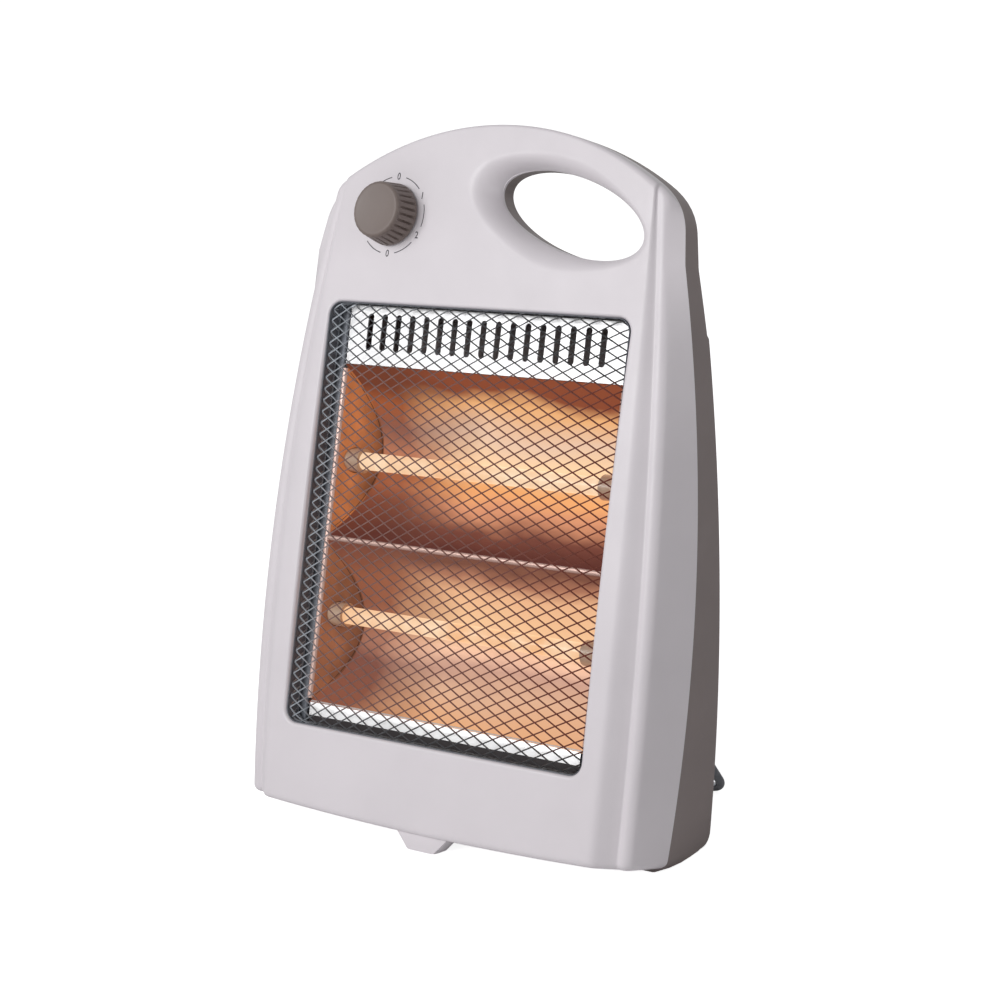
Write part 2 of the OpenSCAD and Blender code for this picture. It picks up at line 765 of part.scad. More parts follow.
foot_y = face_y(-chin) + wall + 0.6;
neck_w = foot_w - 4;
collar_z = -chin + wall + foot_travel + fit;
stem_top = -22;
module foot_outline() {
  hull() {
    for (s = [-1, 1]) {
      translate([s * (foot_tip_w / 2 - foot_r), -floor_drop + foot_r]) circle(r = foot_r);
      translate([s * (foot_w / 2 - foot_r), -chin - 1 - foot_r]) circle(r = foot_r);
    }
  }
}
module tip_foot() {
  color("#dad5db") difference() {
    union() {
      from_front(foot_y, foot_y + foot_t) {
        foot_outline();
        translate([-neck_w / 2, -chin - 3]) square([neck_w, collar_z + chin + 3 + eps]);
      }
      from_front(foot_y, foot_y + foot_t) translate([-foot_w / 2 - 2, collar_z]) square([foot_w + 4, 3]);
      from_front(foot_y + 1.5, foot_y + foot_t - 1.5)
        translate([-6, collar_z]) square([12, stem_top - collar_z]);
    }
    under_floor(0.1);
  }
}
module foot_slot() {
  from_front(foot_y - fit, foot_y + foot_t + fit)
    translate([-neck_w / 2 - fit, -chin - 10]) square([neck_w + 2 * fit, 20]);
}
module tip_switch() {
  color("#2e2e30") union() {
    from_front(foot_y + 0.5, foot_y + 7.5) translate([-14, stem_top + 2.2]) square([28, 10]);
    from_front(foot_y + 3, foot_y + 5) translate([-2.5, stem_top + 0.1]) square([5, 2.2]);
    // Lug to the front wall
    from_front(face_y(stem_top) + wall + 0.05, foot_y + 0.6)
      translate([-12, stem_top + 3]) square([24, 8]);
  }
}

// ---- Inside the back -----------------------------------------------------------

shield_off = wall + 3;
back_cos = cos(atan(back_slope));
function shield_y(z) = back_flat(z) - shield_off / back_cos;
module heat_shield() {
  z0 = 40;
  z1 = 196;
  color("#b4b7ba") difference() {
    from_side(-108, 108) polygon([[shield_y(z0), z0], [shield_y(z1), z1],
      [shield_y(z1) + sheet / back_cos, z1], [shield_y(z0) + sheet / back_cos, z0]]);
    both_sides() for (p = shield_places)
      on_back(p.x, p.y) deep_rod(0, 0, -30, 10, screw_r + running);
  }
}
module shield_screws() {
  color("#c4c6c8") both_sides() for (p = shield_places) on_back(p.x, p.y) {
    deep_rod(0, 0, -shield_off - 0.05, -1.3, screw_r);
    deep_rod(0, 0, -shield_off - 2.05, -shield_off - 0.05 + eps, screw_head_r);
  }
}

gland_x = -62;
gland_z = 24;
module cord_gland() {
  color("#3a3636") on_back(gland_x, gland_z) difference() {
    union() {
      deep_rod(0, 0, -16, 3, inlet_r + 2);
      deep_rod(0, 0, running, 2.5, inlet_r + 4);
    }
    deep_rod(0, 0, -30, 30, inlet_r);
  }
}

block_y = 44;
// The terminal block stands on the base wall
module terminal_block() {
  color("#e6e3da") translate([-86, block_y, floor_z(block_y) + wall]) rotate([lean, 0, 0])
    difference() {
      cube([42, 18, 13]);
      for (i = [0:2]) translate([7 + i * 14, 9, 5]) cylinder(r = 2, h = 20);
    }
}

// A wire through the given points
module wire(points, r) {
  for (i = [0:len(points) - 2]) rod(points[i], points[i + 1], r);
  for (p = points) translate(p) sphere(r = r + 0.15, $fn = 24);
}
module wiring() {
  x = bracket_x + 12.5;
  color("#b33a2e") for (s = [-1, 1]) {
    wire([[s * x, bar_y + 2.6, bar_low], [s * x, bar_y + 5, bar_low + 24],
      [s * x, bar_y + 5, bar_high - 24], [s * x, bar_y + 2.6, bar_high]], 1.1);
  }
}

// ---- Wire stand ----------------------------------------------------------------

back_tilt = atan(back_slope);
pivot_y = back_flat(stand_z) + stand_off * cos(back_tilt);
pivot_z = stand_z + stand_off * sin(back_tilt);
bar_z = floor_z(bar_reach) + wire_r / cos(lean);
leg = [0, bar_reach - pivot_y, bar_z - pivot_z];
leg_len = norm(leg);
leg_angle = atan2(leg.z, leg.y);
// The stand is drawn flat, with its legs along y, and turned down about its pivot
module wire_stand() {
  color("#b8bbbf") translate([0, pivot_y, pivot_z]) rotate([leg_angle, 0, 0]) {
    both_sides() {
      // Inturned pivot end
      cross_rod(stand_half - 16, stand_half - 6, 0, 0, wire_r);
      translate([stand_half - 6, 6, 0]) rotate([0, 0, -90])
        rotate_extrude(angle = 90) translate([6, 0]) circle(r = wire_r);
      translate([stand_half, 6, 0]) rotate([-90, 0, 0])
        cylinder(r = wire_r, h = leg_len - bend_r - 6);
      translate([stand_half - bend_r, leg_len - bend_r, 0])
        rotate_extrude(angle = 90) translate([bend_r, 0]) circle(r = wire_r);
    }
    cross_rod(-stand_half + bend_r, stand_half - bend_r, leg_len, 0, wire_r);
  }
}

clip_w = 9;
clip_x = stand_half - 16 + clip_w / 2;
// A frame on the back: z runs up the back, y runs out of it
module on_back(x, z) {
  translate([x, back_flat(z), z]) rotate([back_tilt, 0, 0]) children();
}
module clip_screw_hole(s) {
  on_back(clip_x, stand_z) translate([0, 0, s * 10]) rotate([90, 0, 0])
    translate([0, 0, -4]) cylinder(r = screw_r + running, h = 14);
}
module stand_clips() {
  h = wire_r + 2;
  color("#5d5654") both_sides() difference() {
    on_back(clip_x, stand_z) translate([-clip_w / 2, 0, 0]) from_side(0, clip_w) difference() {
      union() {
        translate([0.05, -14]) square([2.4, 28]);
        translate([0.05, -h]) square([stand_off, 2 * h]);
        translate([stand_off, 0]) circle(r = h);
      }
    }
    cross_rod(60, 140, pivot_y, pivot_z, wire_r + running);
    for (s = [-1, 1]) clip_screw_hole(s);
  }
}
module stand_screws() {
  color("#c4c6c8") both_sides() for (s = [-1, 1])
    on_back(clip_x, stand_z) translate([0, 0, s * 10]) rotate([90, 0, 0]) {
      translate([0, 0, -2.45]) cylinder(r = screw_r, h = 5.85);
      translate([0, 0, -2.45 - 1.8]) cylinder(r = screw_head_r - 0.6, h = 1.8);
    }
}

module housing_screws() {
  color("#c4c6c8") both_sides() for (p = screw_places) {
    seat = seam_y(p.y) + head_seat;
    deep_rod(p.x, p.y, seam_y(p.y) - 11, seat + eps, screw_r);
    deep_rod(p.x, p.y, seat, seat + screw_head_h, screw_head_r);
  }
}

// ---- Assembly ------------------------------------------------------------------

stand_up() front_housing();
stand_up() rear_housing();
stand_up() grille_mesh();
stand_up() vent_strip();
stand_up() upper_reflector();
stand_up() lower_reflector();
stand_up() reflector_ends();
stand_up() end_brackets();
stand_up() upper_quartz_tube();
stand_up() lower_quartz_tube();
stand_up() upper_heating_coil();
stand_up() lower_heating_coil();
stand_up() upper_end_caps();
stand_up() lower_end_caps();
stand_up() bar_terminals();
stand_up() control_knob();
stand_up() switch_shaft();
stand_up() rotary_switch();
stand_up() switch_bracket();
stand_up() tip_foot();
stand_up() tip_switch();
stand_up() heat_shield();
stand_up() terminal_block();
stand_up() cord_gland();
stand_up() wiring();
stand_up() wire_stand();
stand_up() stand_clips();
stand_up() stand_screws();
stand_up() housing_screws();
stand_up() reflector_screws();
stand_up() shield_screws();
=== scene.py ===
"""Two-bar quartz room heater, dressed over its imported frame.

Inside the classes lengths are millimetres in the frame of the front face: x to the
right, y back from the face and z up the face from the lower edge of the window.
dress() turns a finished piece into the row frame, in metres.
"""
import logging
import math
from contextlib import contextmanager
from dataclasses import dataclass
from enum import Enum
from typing import Callable, Dict, Iterator, List, Sequence, Tuple

import bmesh
import bpy
from mathutils import Matrix, Vector


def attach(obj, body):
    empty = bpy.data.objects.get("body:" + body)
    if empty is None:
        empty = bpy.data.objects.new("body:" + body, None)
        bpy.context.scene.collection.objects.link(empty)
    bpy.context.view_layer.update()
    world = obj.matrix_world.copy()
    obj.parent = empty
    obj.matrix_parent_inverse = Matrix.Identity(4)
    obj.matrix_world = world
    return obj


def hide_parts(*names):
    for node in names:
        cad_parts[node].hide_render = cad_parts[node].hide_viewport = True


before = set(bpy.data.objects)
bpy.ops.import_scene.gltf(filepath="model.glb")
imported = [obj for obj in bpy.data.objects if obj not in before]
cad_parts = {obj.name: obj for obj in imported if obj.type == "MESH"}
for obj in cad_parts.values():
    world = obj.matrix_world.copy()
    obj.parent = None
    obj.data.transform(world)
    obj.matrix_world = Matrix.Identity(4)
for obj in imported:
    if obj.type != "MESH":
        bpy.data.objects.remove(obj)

log = logging.getLogger("heater")
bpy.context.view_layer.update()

Object = bpy.types.Object
Material = bpy.types.Material
Socket = bpy.types.NodeSocket
Point = Tuple[float, float, float]
Flat = Tuple[float, float]
Colour = Tuple[float, float, float, float]
Screen = Tuple[int, int, int]
Stops = Tuple[Tuple[float, Screen], ...]

LEAN = math.radians(19.0)
SHIFT = Vector((0.0, -62.84781893, 56.92021825))
FLOOR_DROP = 60.2
OFF_FLOOR = 0.02
SIDES = (-1, 1)


class Body(Enum):
    """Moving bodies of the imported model."""

    HOUSING = "housing"
    KNOB = "knob"
    STAND = "stand"
    FOOT = "foot"


class Slot(Enum):
    """Material slots of the record, which the pieces name."""

    PALE = "pale_plastic"
    DARK = "dark_plastic"
    MESH = "mesh_steel"
    REFLECTOR = "reflector_sheet"
    ZINC = "zinc_steel"
    QUARTZ = "quartz"
    COIL = "coil_wire"
    KNOB = "knob_plastic"
    SWITCH = "switch_plastic"
    CHROME = "chromed_wire"


# ---- Modelling helpers ---------------------------------------------------------


def only(obj: Object) -> None:
    """Selects obj alone and makes it active."""
    bpy.ops.object.select_all(action="DESELECT")
    obj.select_set(True)
    bpy.context.view_layer.objects.active = obj


def named(name: str) -> Object:
    """Names the new active object and its mesh, and returns it."""
    obj = bpy.context.active_object
    obj.name = name
    obj.data.name = name
    return obj


@contextmanager
def editing(obj: Object) -> Iterator[None]:
    """Edit mode on obj alone, with everything selected."""
    only(obj)
    bpy.ops.object.mode_set(mode="EDIT")
    bpy.ops.mesh.select_all(action="SELECT")
    yield
    bpy.ops.object.mode_set(mode="OBJECT")


def face_outwards() -> None:
    """Turns the faces of the mesh in edit mode outwards."""
    bpy.ops.mesh.select_all(action="SELECT")
    bpy.ops.mesh.normals_make_consistent(inside=False)


def tidy_mesh(obj: Object, outward: bool = True) -> None:
    """Merges doubles and, where outward is set, turns the faces outwards."""
    with editing(obj):
        bpy.ops.mesh.remove_doubles(threshold=1e-4)
        if outward:
            face_outwards()


def skin(name: str, rows: Sequence[Sequence[Point]], wrap: bool = False, ring: bool = False,
         outward: bool = True) -> Object:
    """Lays a grid primitive over rows of points.

    Args:
        name: The piece's name.
        rows: Rows of equally many points.
        wrap: Whether each row closes on itself.
        ring: Whether the last row joins the first.
        outward: Whether normals are recalculated.

    Returns:
        The mesh object.
    """
    laid = [list(row) + ([row[0]] if wrap else []) for row in rows]
    if ring:
        laid.append(laid[0])
    bpy.ops.object.select_all(action="DESELECT")
    bpy.ops.mesh.primitive_grid_add(x_subdivisions=len(laid[0]) - 1, y_subdivisions=len(laid) - 1,
                                    size=2.0)
    obj = named(name)
    flat = [c for row in laid for p in row for c in p]
    if len(obj.data.vertices) * 3 != len(flat):
        raise ValueError(f"{name}: the grid has {len(obj.data.vertices)} points for {len(flat) // 3}")
    obj.data.vertices.foreach_set("co", flat)
    obj.data.update()
    tidy_mesh(obj, outward)
    return obj


def sheet(name: str, rows: Sequence[Sequence[Point]], thick: float) -> Object:
    """A sheet of a thickness, with rows of points in its middle plane."""
    obj = skin(name, rows, outward=False)
    modify(obj, "SOLIDIFY", thickness=thick, offset=0.0)
    return obj


def polygon(name: str, points: Sequence[Point]) -> Object:
    """A flat face through points."""
    bpy.ops.object.select_all(action="DESELECT")
    bpy.ops.mesh.primitive_circle_add(vertices=len(points), radius=1.0, fill_type="NGON")
    obj = named(name)
    for vert, point in zip(obj.data.vertices, points):
        vert.co = point
    obj.data.update()
    return obj


def extruded(obj: Object, push: Point) -> Object:
    """Extrudes a flat face by push and returns it."""
    with editing(obj):
        bpy.ops.mesh.extrude_region_move(TRANSFORM_OT_translate={"value": push})
        face_outwards()
    return obj


def prism(name: str, outline: Sequence[Flat], y0: float, y1: float) -> Object:
    """Extrudes an outline (x, z) in the face's plane from depth y0 to y1."""
    return extruded(polygon(name, [(x, y0, z) for x, z in outline]), (0.0, y1 - y0, 0.0))


def box(name: str, x: Flat, z: Flat, y: Flat) -> Object:
    """A block between two places across, two heights and two depths."""
    return prism(name, [(x[0], z[0]), (x[1], z[0]), (x[1], z[1]), (x[0], z[1])], *y)


def join(main: Object, *others: Object) -> Object:
    """Joins others into main and returns it."""
    only(main)
    for other in others:
        other.select_set(True)
    bpy.ops.object.join()
    return main


def modify(obj: Object, kind: str, **settings: object) -> None:
    """Adds a modifier and applies it.

    Args:
        obj: The mesh object.
        kind: The modifier's type.
        settings: Its settings.
    """
    only(obj)
    modifier = obj.modifiers.new(kind.title(), kind)
    for key, value in settings.items():
        setattr(modifier, key, value)
    bpy.ops.object.modifier_apply(modifier=modifier.name)


def cut(obj: Object, cutter: Object, solver: str = "EXACT") -> None:
    """Takes cutter away from obj with a boolean solver and deletes it."""
    modify(obj, "BOOLEAN", operation="DIFFERENCE", solver=solver, object=cutter)
    bpy.data.objects.remove(cutter)


def bevel_edges(obj: Object, width: float, segments: int) -> None:
    """Rounds the sharp edges over a width."""
    modify(obj, "BEVEL", width=width, segments=segments, limit_method="ANGLE",
           angle_limit=math.radians(50.0), use_clamp_overlap=True)


def dress(obj: Object, material: Material, body: Body, slot: Slot, nodes: Sequence[str] = (),
          smooth: float = 35.0) -> Object:
    """Stands a piece up, smooths it and hands it to its body.

    Args:
        obj: The finished piece, in the face's frame.
        material: Its finish.
        body: The body it rides on.
        slot: The record's slot; not used.
        nodes: The CAD nodes it replaces.
        smooth: Angle under which edges are smooth, in degrees.

    Returns:
        The piece.
    """
    only(obj)
    up = Matrix.Scale(0.001, 4) @ Matrix.Translation(SHIFT) @ Matrix.Rotation(-LEAN, 4, "X")
    obj.matrix_world = up @ obj.matrix_world
    bpy.ops.object.transform_apply(location=True, rotation=True, scale=True)
    bpy.ops.object.shade_smooth_by_angle(angle=math.radians(smooth))
    obj.data.materials.clear()
    obj.data.materials.append(material)
    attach(obj, body.value)
    if nodes:
        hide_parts(*nodes)
    log.info("%s: %d faces on %s", obj.name, len(obj.data.polygons), body.value)
    return obj


class Piece:
    """A piece in one finish; each subclass says what it is and gives its shape."""

    body = Body.HOUSING
    slot = Slot.PALE
    node = ""
    smooth = 32.0

    def shape(self) -> Object:
        """The finished mesh, in the face's frame."""
        raise NotImplementedError

    def build(self, material: Material) -> Object:
        """Builds and dresses the piece.

        Args:
            material: Its finish.

        Returns:
            The piece.
        """
        nodes = [self.node] if self.node else []
        return dress(self.shape(), material, self.body, self.slot, nodes, self.smooth)


# ---- Finishes ------------------------------------------------------------------


def linear(rgb: Screen) -> Colour:
    """Screen colour 0 to 255 as a linear colour."""
    parts = [c / 255.0 for c in rgb]
    red, green, blue = (c / 12.92 if c <= 0.04045 else ((c + 0.055) / 1.055) ** 2.4 for c in parts)
    return (red, green, blue, 1.0)


def shade(rgb: Screen, factor: float) -> Colour:
    """A screen colour made lighter or darker, as a linear colour."""
    red, green, blue = (min(c * factor, 1.0) for c in linear(rgb)[:3])
    return (red, green, blue, 1.0)


class Graph:
    """Nodes and links of a node tree."""

    def __init__(self, tree: bpy.types.NodeTree) -> None:
        """Takes over a node tree."""
        self.nodes = tree.nodes
        self.links = tree.links

    def put(self, socket: Socket, value: object) -> None:
        """Links value to socket if it is one itself, and else sets it."""
        if isinstance(value, Socket):
            self.links.new(value, socket)
        else:
            socket.default_value = value

    def add(self, kind: str, **values: object) -> bpy.types.Node:
        """Adds a node and sets its properties or inputs by name.

        Args:
            kind: The node's type without its prefix.
            values: Properties, or inputs with _ for a space.

        Returns:
            The node.
        """
        node = self.nodes.new("ShaderNode" + kind)
        for key, value in values.items():
            if hasattr(node, key):
                setattr(node, key, value)
            else:
                self.put(node.inputs[key.replace("_", " ")], value)
        return node

    def calc(self, operation: str, a: object, b: object, kind: str = "Math") -> Socket:
        """Result of a Math or VectorMath node on two sockets or values."""
        node = self.add(kind, operation=operation)
        self.put(node.inputs[0], a)
        self.put(node.inputs[1], b)
        return node.outputs["Value"]


class Tree(Graph):
    """A material's nodes with its Principled shader and Object coordinates."""

    def __init__(self, name: str) -> None:
        """Starts a material of that name."""
        self.material = bpy.data.materials.new(name)
        self.material.use_nodes = True
        super().__init__(self.material.node_tree)
        self.shader = self.nodes["Principled BSDF"]
        self.place = self.add("TexCoord").outputs["Object"]

    def feed(self, **values: object) -> None:
        """Sets or links inputs of the shader, with _ for a space in their names."""
        for key, value in values.items():
            self.put(self.shader.inputs[key.replace("_", " ")], value)

    def noise(self, scale: float, detail: float = 3.0, stretch: Point = (1.0, 1.0, 1.0),
              tilt: float = 0.0) -> Socket:
        """Noise on Object coordinates.

        Args:
            scale: Scale in cells a metre.
            detail: Its detail.
            stretch: Factor on each axis.
            tilt: Turn about x, in radians.

        Returns:
            The factor.
        """
        mapping = self.add("Mapping", Scale=stretch, Rotation=(tilt, 0.0, 0.0), Vector=self.place)
        return self.add("TexNoise", Scale=scale, Detail=detail, Vector=mapping.outputs[0]).outputs["Fac"]

    def streaks(self) -> Socket:
        """Rolling streaks along x."""
        return self.noise(900.0, 2.0, (0.03, 1.0, 1.0), LEAN)

    def ramp(self, factor: Socket, stops: Sequence[Tuple[float, Colour]]) -> Socket:
        """Colour ramp over factor, from pairs of position and colour."""
        node = self.add("ValToRGB", Fac=factor)
        ramp = node.color_ramp
        while len(ramp.elements) < len(stops):
            ramp.elements.new(0.5)
        for element, (position, colour) in zip(ramp.elements, stops):
            element.position = position
            element.color = colour
        return node.outputs["Color"]

    def mottled(self, factor: Socket, rgb: Screen, low: float, high: float, start: float = 0.3) -> Socket:
        """A screen colour that factor shades from low to high."""
        return self.ramp(factor, [(start, shade(rgb, low)), (1.0 - start, shade(rgb, high))])

    def spread(self, factor: Socket, low: float, high: float, start: float = 0.3,
               end: float = 0.7) -> Socket:
        """Maps factor from start..end to low..high."""
        return self.add("MapRange", Value=factor, From_Min=start, From_Max=end, To_Min=low,
                        To_Max=high).outputs["Result"]

    def blur(self, factor: Socket, reach: float) -> Socket:
        """A shift of up to reach either way."""
        return self.spread(factor, -reach, reach)

    def across(self) -> Socket:
        """Place across the heater, in metres."""
        return self.add("SeparateXYZ", Vector=self.place).outputs["X"]

    def along(self, direction: Vector) -> Socket:
        """Distance along a direction from the face frame's origin, in metres."""
        dot = self.calc("DOT_PRODUCT", self.place, tuple(direction), "VectorMath")
        return self.calc("SUBTRACT", dot, direction.dot(SHIFT) / 1000.0)

    def height(self) -> Socket:
        """Height up the face, in metres."""
        return self.along(Vector((0.0, math.sin(LEAN), math.cos(LEAN))))

    def depth(self) -> Socket:
        """Depth behind the face, in metres."""
        return self.along(Vector((0.0, math.cos(LEAN), -math.sin(LEAN))))

    def facing(self, level: float) -> Socket:
        """A level on the sides that look to the front, and 0 on the others."""
        normal = self.add("NewGeometry").outputs["True Normal"]
        dot = self.calc("DOT_PRODUCT", normal, (0.0, -math.cos(LEAN), math.sin(LEAN)), "VectorMath")
        return self.spread(dot, 0.0, level, 0.0, 0.1)

    def sum(self, a: Socket, b: Socket) -> Socket:
        """Sum of two values."""
        return self.calc("ADD", a, b)

    def mix(self, factor: object, a: object, b: object) -> Socket:
        """Mixes two colours.

        Args:
            factor: Socket or value, 0 for a and 1 for b.
            a: Colour or socket.
            b: Colour or socket.

        Returns:
            The colour.
        """
        node = self.add("Mix", data_type="RGBA")
        for index, value in ((0, factor), (6, a), (7, b)):
            self.put(node.inputs[index], value)
        return node.outputs[2]

    def bump(self, height: Socket, strength: float, distance: float) -> None:
        """Bumps the shader's normal by a height, over a distance in metres."""
        node = self.add("Bump", Strength=strength, Distance=distance, Height=height)
        self.feed(Normal=node.outputs["Normal"])


@dataclass(frozen=True)
class Finish:
    """A finish, with the name of its material."""

    name: str

    def paint(self, tree: Tree) -> None:
        """Lays out the finish in a material's nodes."""
        raise NotImplementedError

    def build(self) -> Material:
        """Builds the material."""
        tree = Tree(self.name)
        self.paint(tree)
        return tree.material


@dataclass(frozen=True)
class Moulded(Finish):
    """Satin moulding: faint mottling, fine spark texture and uneven gloss."""

    colour: Screen
    rough: float = 0.42
    grain: float = 1800.0
    depth: float = 0.00004
    mottle: float = 0.025
    coat: float = 0.0

    def paint(self, tree: Tree) -> None:
        """Lays out the moulding."""
        cloud = tree.noise(22.0, 4.0)
        tree.feed(Base_Color=tree.mottled(cloud, self.colour, 1.0 - self.mottle, 1.0 + self.mottle),
                  Roughness=tree.spread(tree.noise(60.0), self.rough - 0.04, self.rough + 0.05),
                  Coat_Weight=self.coat)
        tree.bump(tree.noise(self.grain, 2.0), 0.25, self.depth)


@dataclass(frozen=True)
class Sheet(Finish):
    """Bright sheet metal with rolling streaks along x and a little staining."""

    colour: Screen
    rough: float
    metal: float = 1.0
    streak: float = 0.06

    def paint(self, tree: Tree) -> None:
        """Lays out the sheet metal."""
        stain, streaks = tree.noise(35.0, 5.0, (0.5, 1.0, 1.0)), tree.streaks()
        tree.feed(Base_Color=tree.mottled(stain, self.colour, 0.9, 1.04, 0.35), Metallic=self.metal,
                  Roughness=tree.spread(streaks, self.rough - self.streak, self.rough + self.streak))
        tree.bump(streaks, 0.15, 0.00002)


@dataclass(frozen=True)
class Wire(Finish):
    """Drawn or plated steel with fine pitting."""

    colour: Screen
    rough: float

    def paint(self, tree: Tree) -> None:
        """Lays out the steel."""
        fleck = tree.noise(260.0, 4.0)
        tree.feed(Base_Color=tree.mottled(fleck, self.colour, 0.8, 1.1), Metallic=1.0,
                  Roughness=tree.spread(fleck, self.rough - 0.06, self.rough + 0.08))
        tree.bump(tree.noise(1500.0, 2.0), 0.1, 0.00003)


@dataclass(frozen=True)
class Glow(Finish):
    """Reflector sheet with the bar's light painted on as emission: painted glow in bands over its height,
    dimmer towards the left, over a near-black base of painted shade.
    """

    low: float
    high: float
    dim: Stops
    lit: Stops
    strength: float = 0.84
    rough: float = 0.38
    wave: float = 0.005
    # Near-black base: painted shade that keeps the lamps off the sheet, so that the painted glow sets its
    # colour.
    painted_shade: Colour = (0.02, 0.01, 0.008, 1.0)

    def paint(self, tree: Tree) -> None:
        """Lays out the lit sheet."""
        patches = tree.noise(24.0, 3.0, (0.55, 1.0, 1.0), LEAN)
        ripple = tree.noise(95.0, 3.0, (0.4, 1.0, 1.0), LEAN)
        height = tree.sum(tree.sum(tree.height(), tree.blur(patches, self.wave)),
                          tree.blur(ripple, self.wave / 4))
        level = tree.spread(height, 0.0, 1.0, self.low / 1000, self.high / 1000)
        dim, lit = (tree.ramp(level, [(p, linear(c)) for p, c in stops]) for stops in (self.dim, self.lit))
        across = tree.sum(tree.across(), tree.blur(patches, 0.012))
        # Painted shade: the dim bands on the left end, the lit bands elsewhere.
        colour = tree.mix(tree.spread(across, 0.0, 1.0, -0.062, -0.012), dim, lit)
        # Painted glow: the bands are emitted on the sides that look to the front.
        tree.feed(Emission_Color=colour, Emission_Strength=tree.facing(self.strength),
                  Base_Color=tree.mix(0.8, colour, self.painted_shade), Metallic=0.5,
                  Roughness=tree.spread(tree.streaks(), self.rough - 0.06, self.rough + 0.08))
        tree.bump(patches, 0.2, 0.0006)


@dataclass(frozen=True)
class PaintedGlowPlate(Finish):
    """End plate with painted light: a painted glow beside its bar, lighter over its upper part, painted shade
    towards its deep edge, and random stains.
    """

    upper: Screen
    lower: Screen
    strength: float = 0.85
    painted_shade: Colour = (0.02, 0.012, 0.01, 1.0)
    stain: Colour = (0.03, 0.015, 0.012, 1.0)

    def paint(self, tree: Tree) -> None:
        """Lays out the end plate."""
        cloud = tree.noise(60.0, 4.0)
        # Painted glow, lighter over the upper part of the plate.
        tone = tree.mix(tree.spread(tree.height(), 0.0, 1.0, 0.1, 0.112), linear(self.lower),
                        linear(self.upper))
        # Painted shade: darker towards the deep edge.
        deep = tree.spread(tree.sum(tree.depth(), tree.blur(cloud, 0.003)), 1.0, 0.3, 0.02, 0.038)
        tone = tree.mix(tree.spread(cloud, 0.0, 0.35), tree.mix(deep, self.painted_shade, tone), self.stain)
        # The tone is emitted as painted glow, over a base darkened as painted shade.
        tree.feed(Emission_Color=tone, Emission_Strength=self.strength,
                  Base_Color=tree.mix(0.6, tone, self.painted_shade), Roughness=tree.spread(cloud, 0.4, 0.6))
        tree.bump(cloud, 0.15, 0.0004)


@dataclass(frozen=True)
class GlowLitWire(Finish):
    """Guard wire with painted light: a painted highlight on its left edge, a reddish painted glow over the
    bars' zone and dark grey painted shade above and below it, both darker towards the right.
    """

    # cool is the grey of the painted highlight on the left edge; warm and the next colour are painted glow
    # from the bars; the greys after them are painted shade.
    cool: Screen = (176, 182, 190)
    warm: Screen = (146, 112, 106)
    glow_brown: Screen = (118, 54, 40)
    shadow_grey: Tuple[Screen, Screen] = ((96, 98, 102), (60, 60, 62))
    fleck: Colour = (0.012, 0.012, 0.014, 1.0)
    top: float = 0.205

    def paint(self, tree: Tree) -> None:
        """Lays out the guard wire."""
        fleck, x, z = tree.noise(260.0, 4.0), tree.across(), tree.height()
        # Painted glow of the bars behind the wire, darker and redder towards the right.
        hot = tree.mix(tree.spread(x, 0.0, 1.0, -0.07, 0.09), linear(self.warm), linear(self.glow_brown))
        # Painted shade, darker towards the right.
        shadow_grey = tree.mix(tree.spread(x, 0.0, 1.0, -0.09, 0.09), *map(linear, self.shadow_grey))
        # Painted shade above the glow's top and below its foot.
        tone = tree.mix(tree.spread(z, 0.0, 1.0, self.top - 0.003, self.top + 0.003), hot, shadow_grey)
        tone = tree.mix(tree.spread(z, 1.0, 0.0, 0.01, 0.014), tone, shadow_grey)
        # Painted highlight on the left edge.
        tone = tree.mix(tree.spread(x, 1.0, 0.0, -0.092, -0.082), tone, linear(self.cool))
        tree.feed(Base_Color=tree.mix(tree.spread(fleck, 0.0, 0.3), tone, self.fleck), Metallic=0.35,
                  Roughness=tree.spread(fleck, 0.36, 0.5))
        tree.bump(tree.noise(1500.0, 2.0), 0.1, 0.00003)


@dataclass(frozen=True)
class Ember(Finish):
    """Glowing tube or wire with an uneven heat along it."""

    cool: Screen
    hot: Screen
    strength: float

    def paint(self, tree: Tree) -> None:
        """Lays out the glow."""
        heat = tree.noise(46.0, 4.0, (1.0, 0.3, 0.3))
        colour = tree.ramp(heat, [(0.32, linear(self.cool)), (0.66, linear(self.hot))])
        tree.feed(Emission_Color=colour, Emission_Strength=self.strength, Coat_Weight=0.1,
                  Base_Color=tree.mix(0.9, colour, (0.0, 0.0, 0.0, 1.0)),
                  Roughness=tree.spread(heat, 0.16, 0.3))
        tree.bump(tree.noise(400.0, 2.0), 0.1, 0.00005)


# ---- Plane geometry ------------------------------------------------------------


def turns(count: int) -> List[float]:
    """Angles all the way round, in equal steps."""
    return [2 * math.pi * i / count for i in range(count)]


def disc(x: float, z: float, radius: float, count: int) -> List[Flat]:
    """Outline of a round hole or pin."""
    return [(x + radius * math.cos(t), z + radius * math.sin(t)) for t in turns(count)]


def arc(x: float, z: float, radius: float, start: float, end: float, steps: int) -> List[Flat]:
    """Points of an arc round (x, z), from start to end in degrees."""
    angles = [math.radians(start + (end - start) * i / steps) for i in range(steps + 1)]
    return [(x + radius * math.cos(a), z + radius * math.sin(a)) for a in angles]


def line(p: Flat, q: Flat, steps: int) -> List[Flat]:
    """Points from p to q in equal steps, without p itself."""
    return [(p[0] + (q[0] - p[0]) * i / steps, p[1] + (q[1] - p[1]) * i / steps) for i in range(1, steps + 1)]


def towards(p: Flat, q: Flat, length: float) -> Flat:
    """The point at a length from p on the way to q."""
    span = math.dist(p, q) or 1e-6
    return (p[0] + (q[0] - p[0]) / span * length, p[1] + (q[1] - p[1]) / span * length)


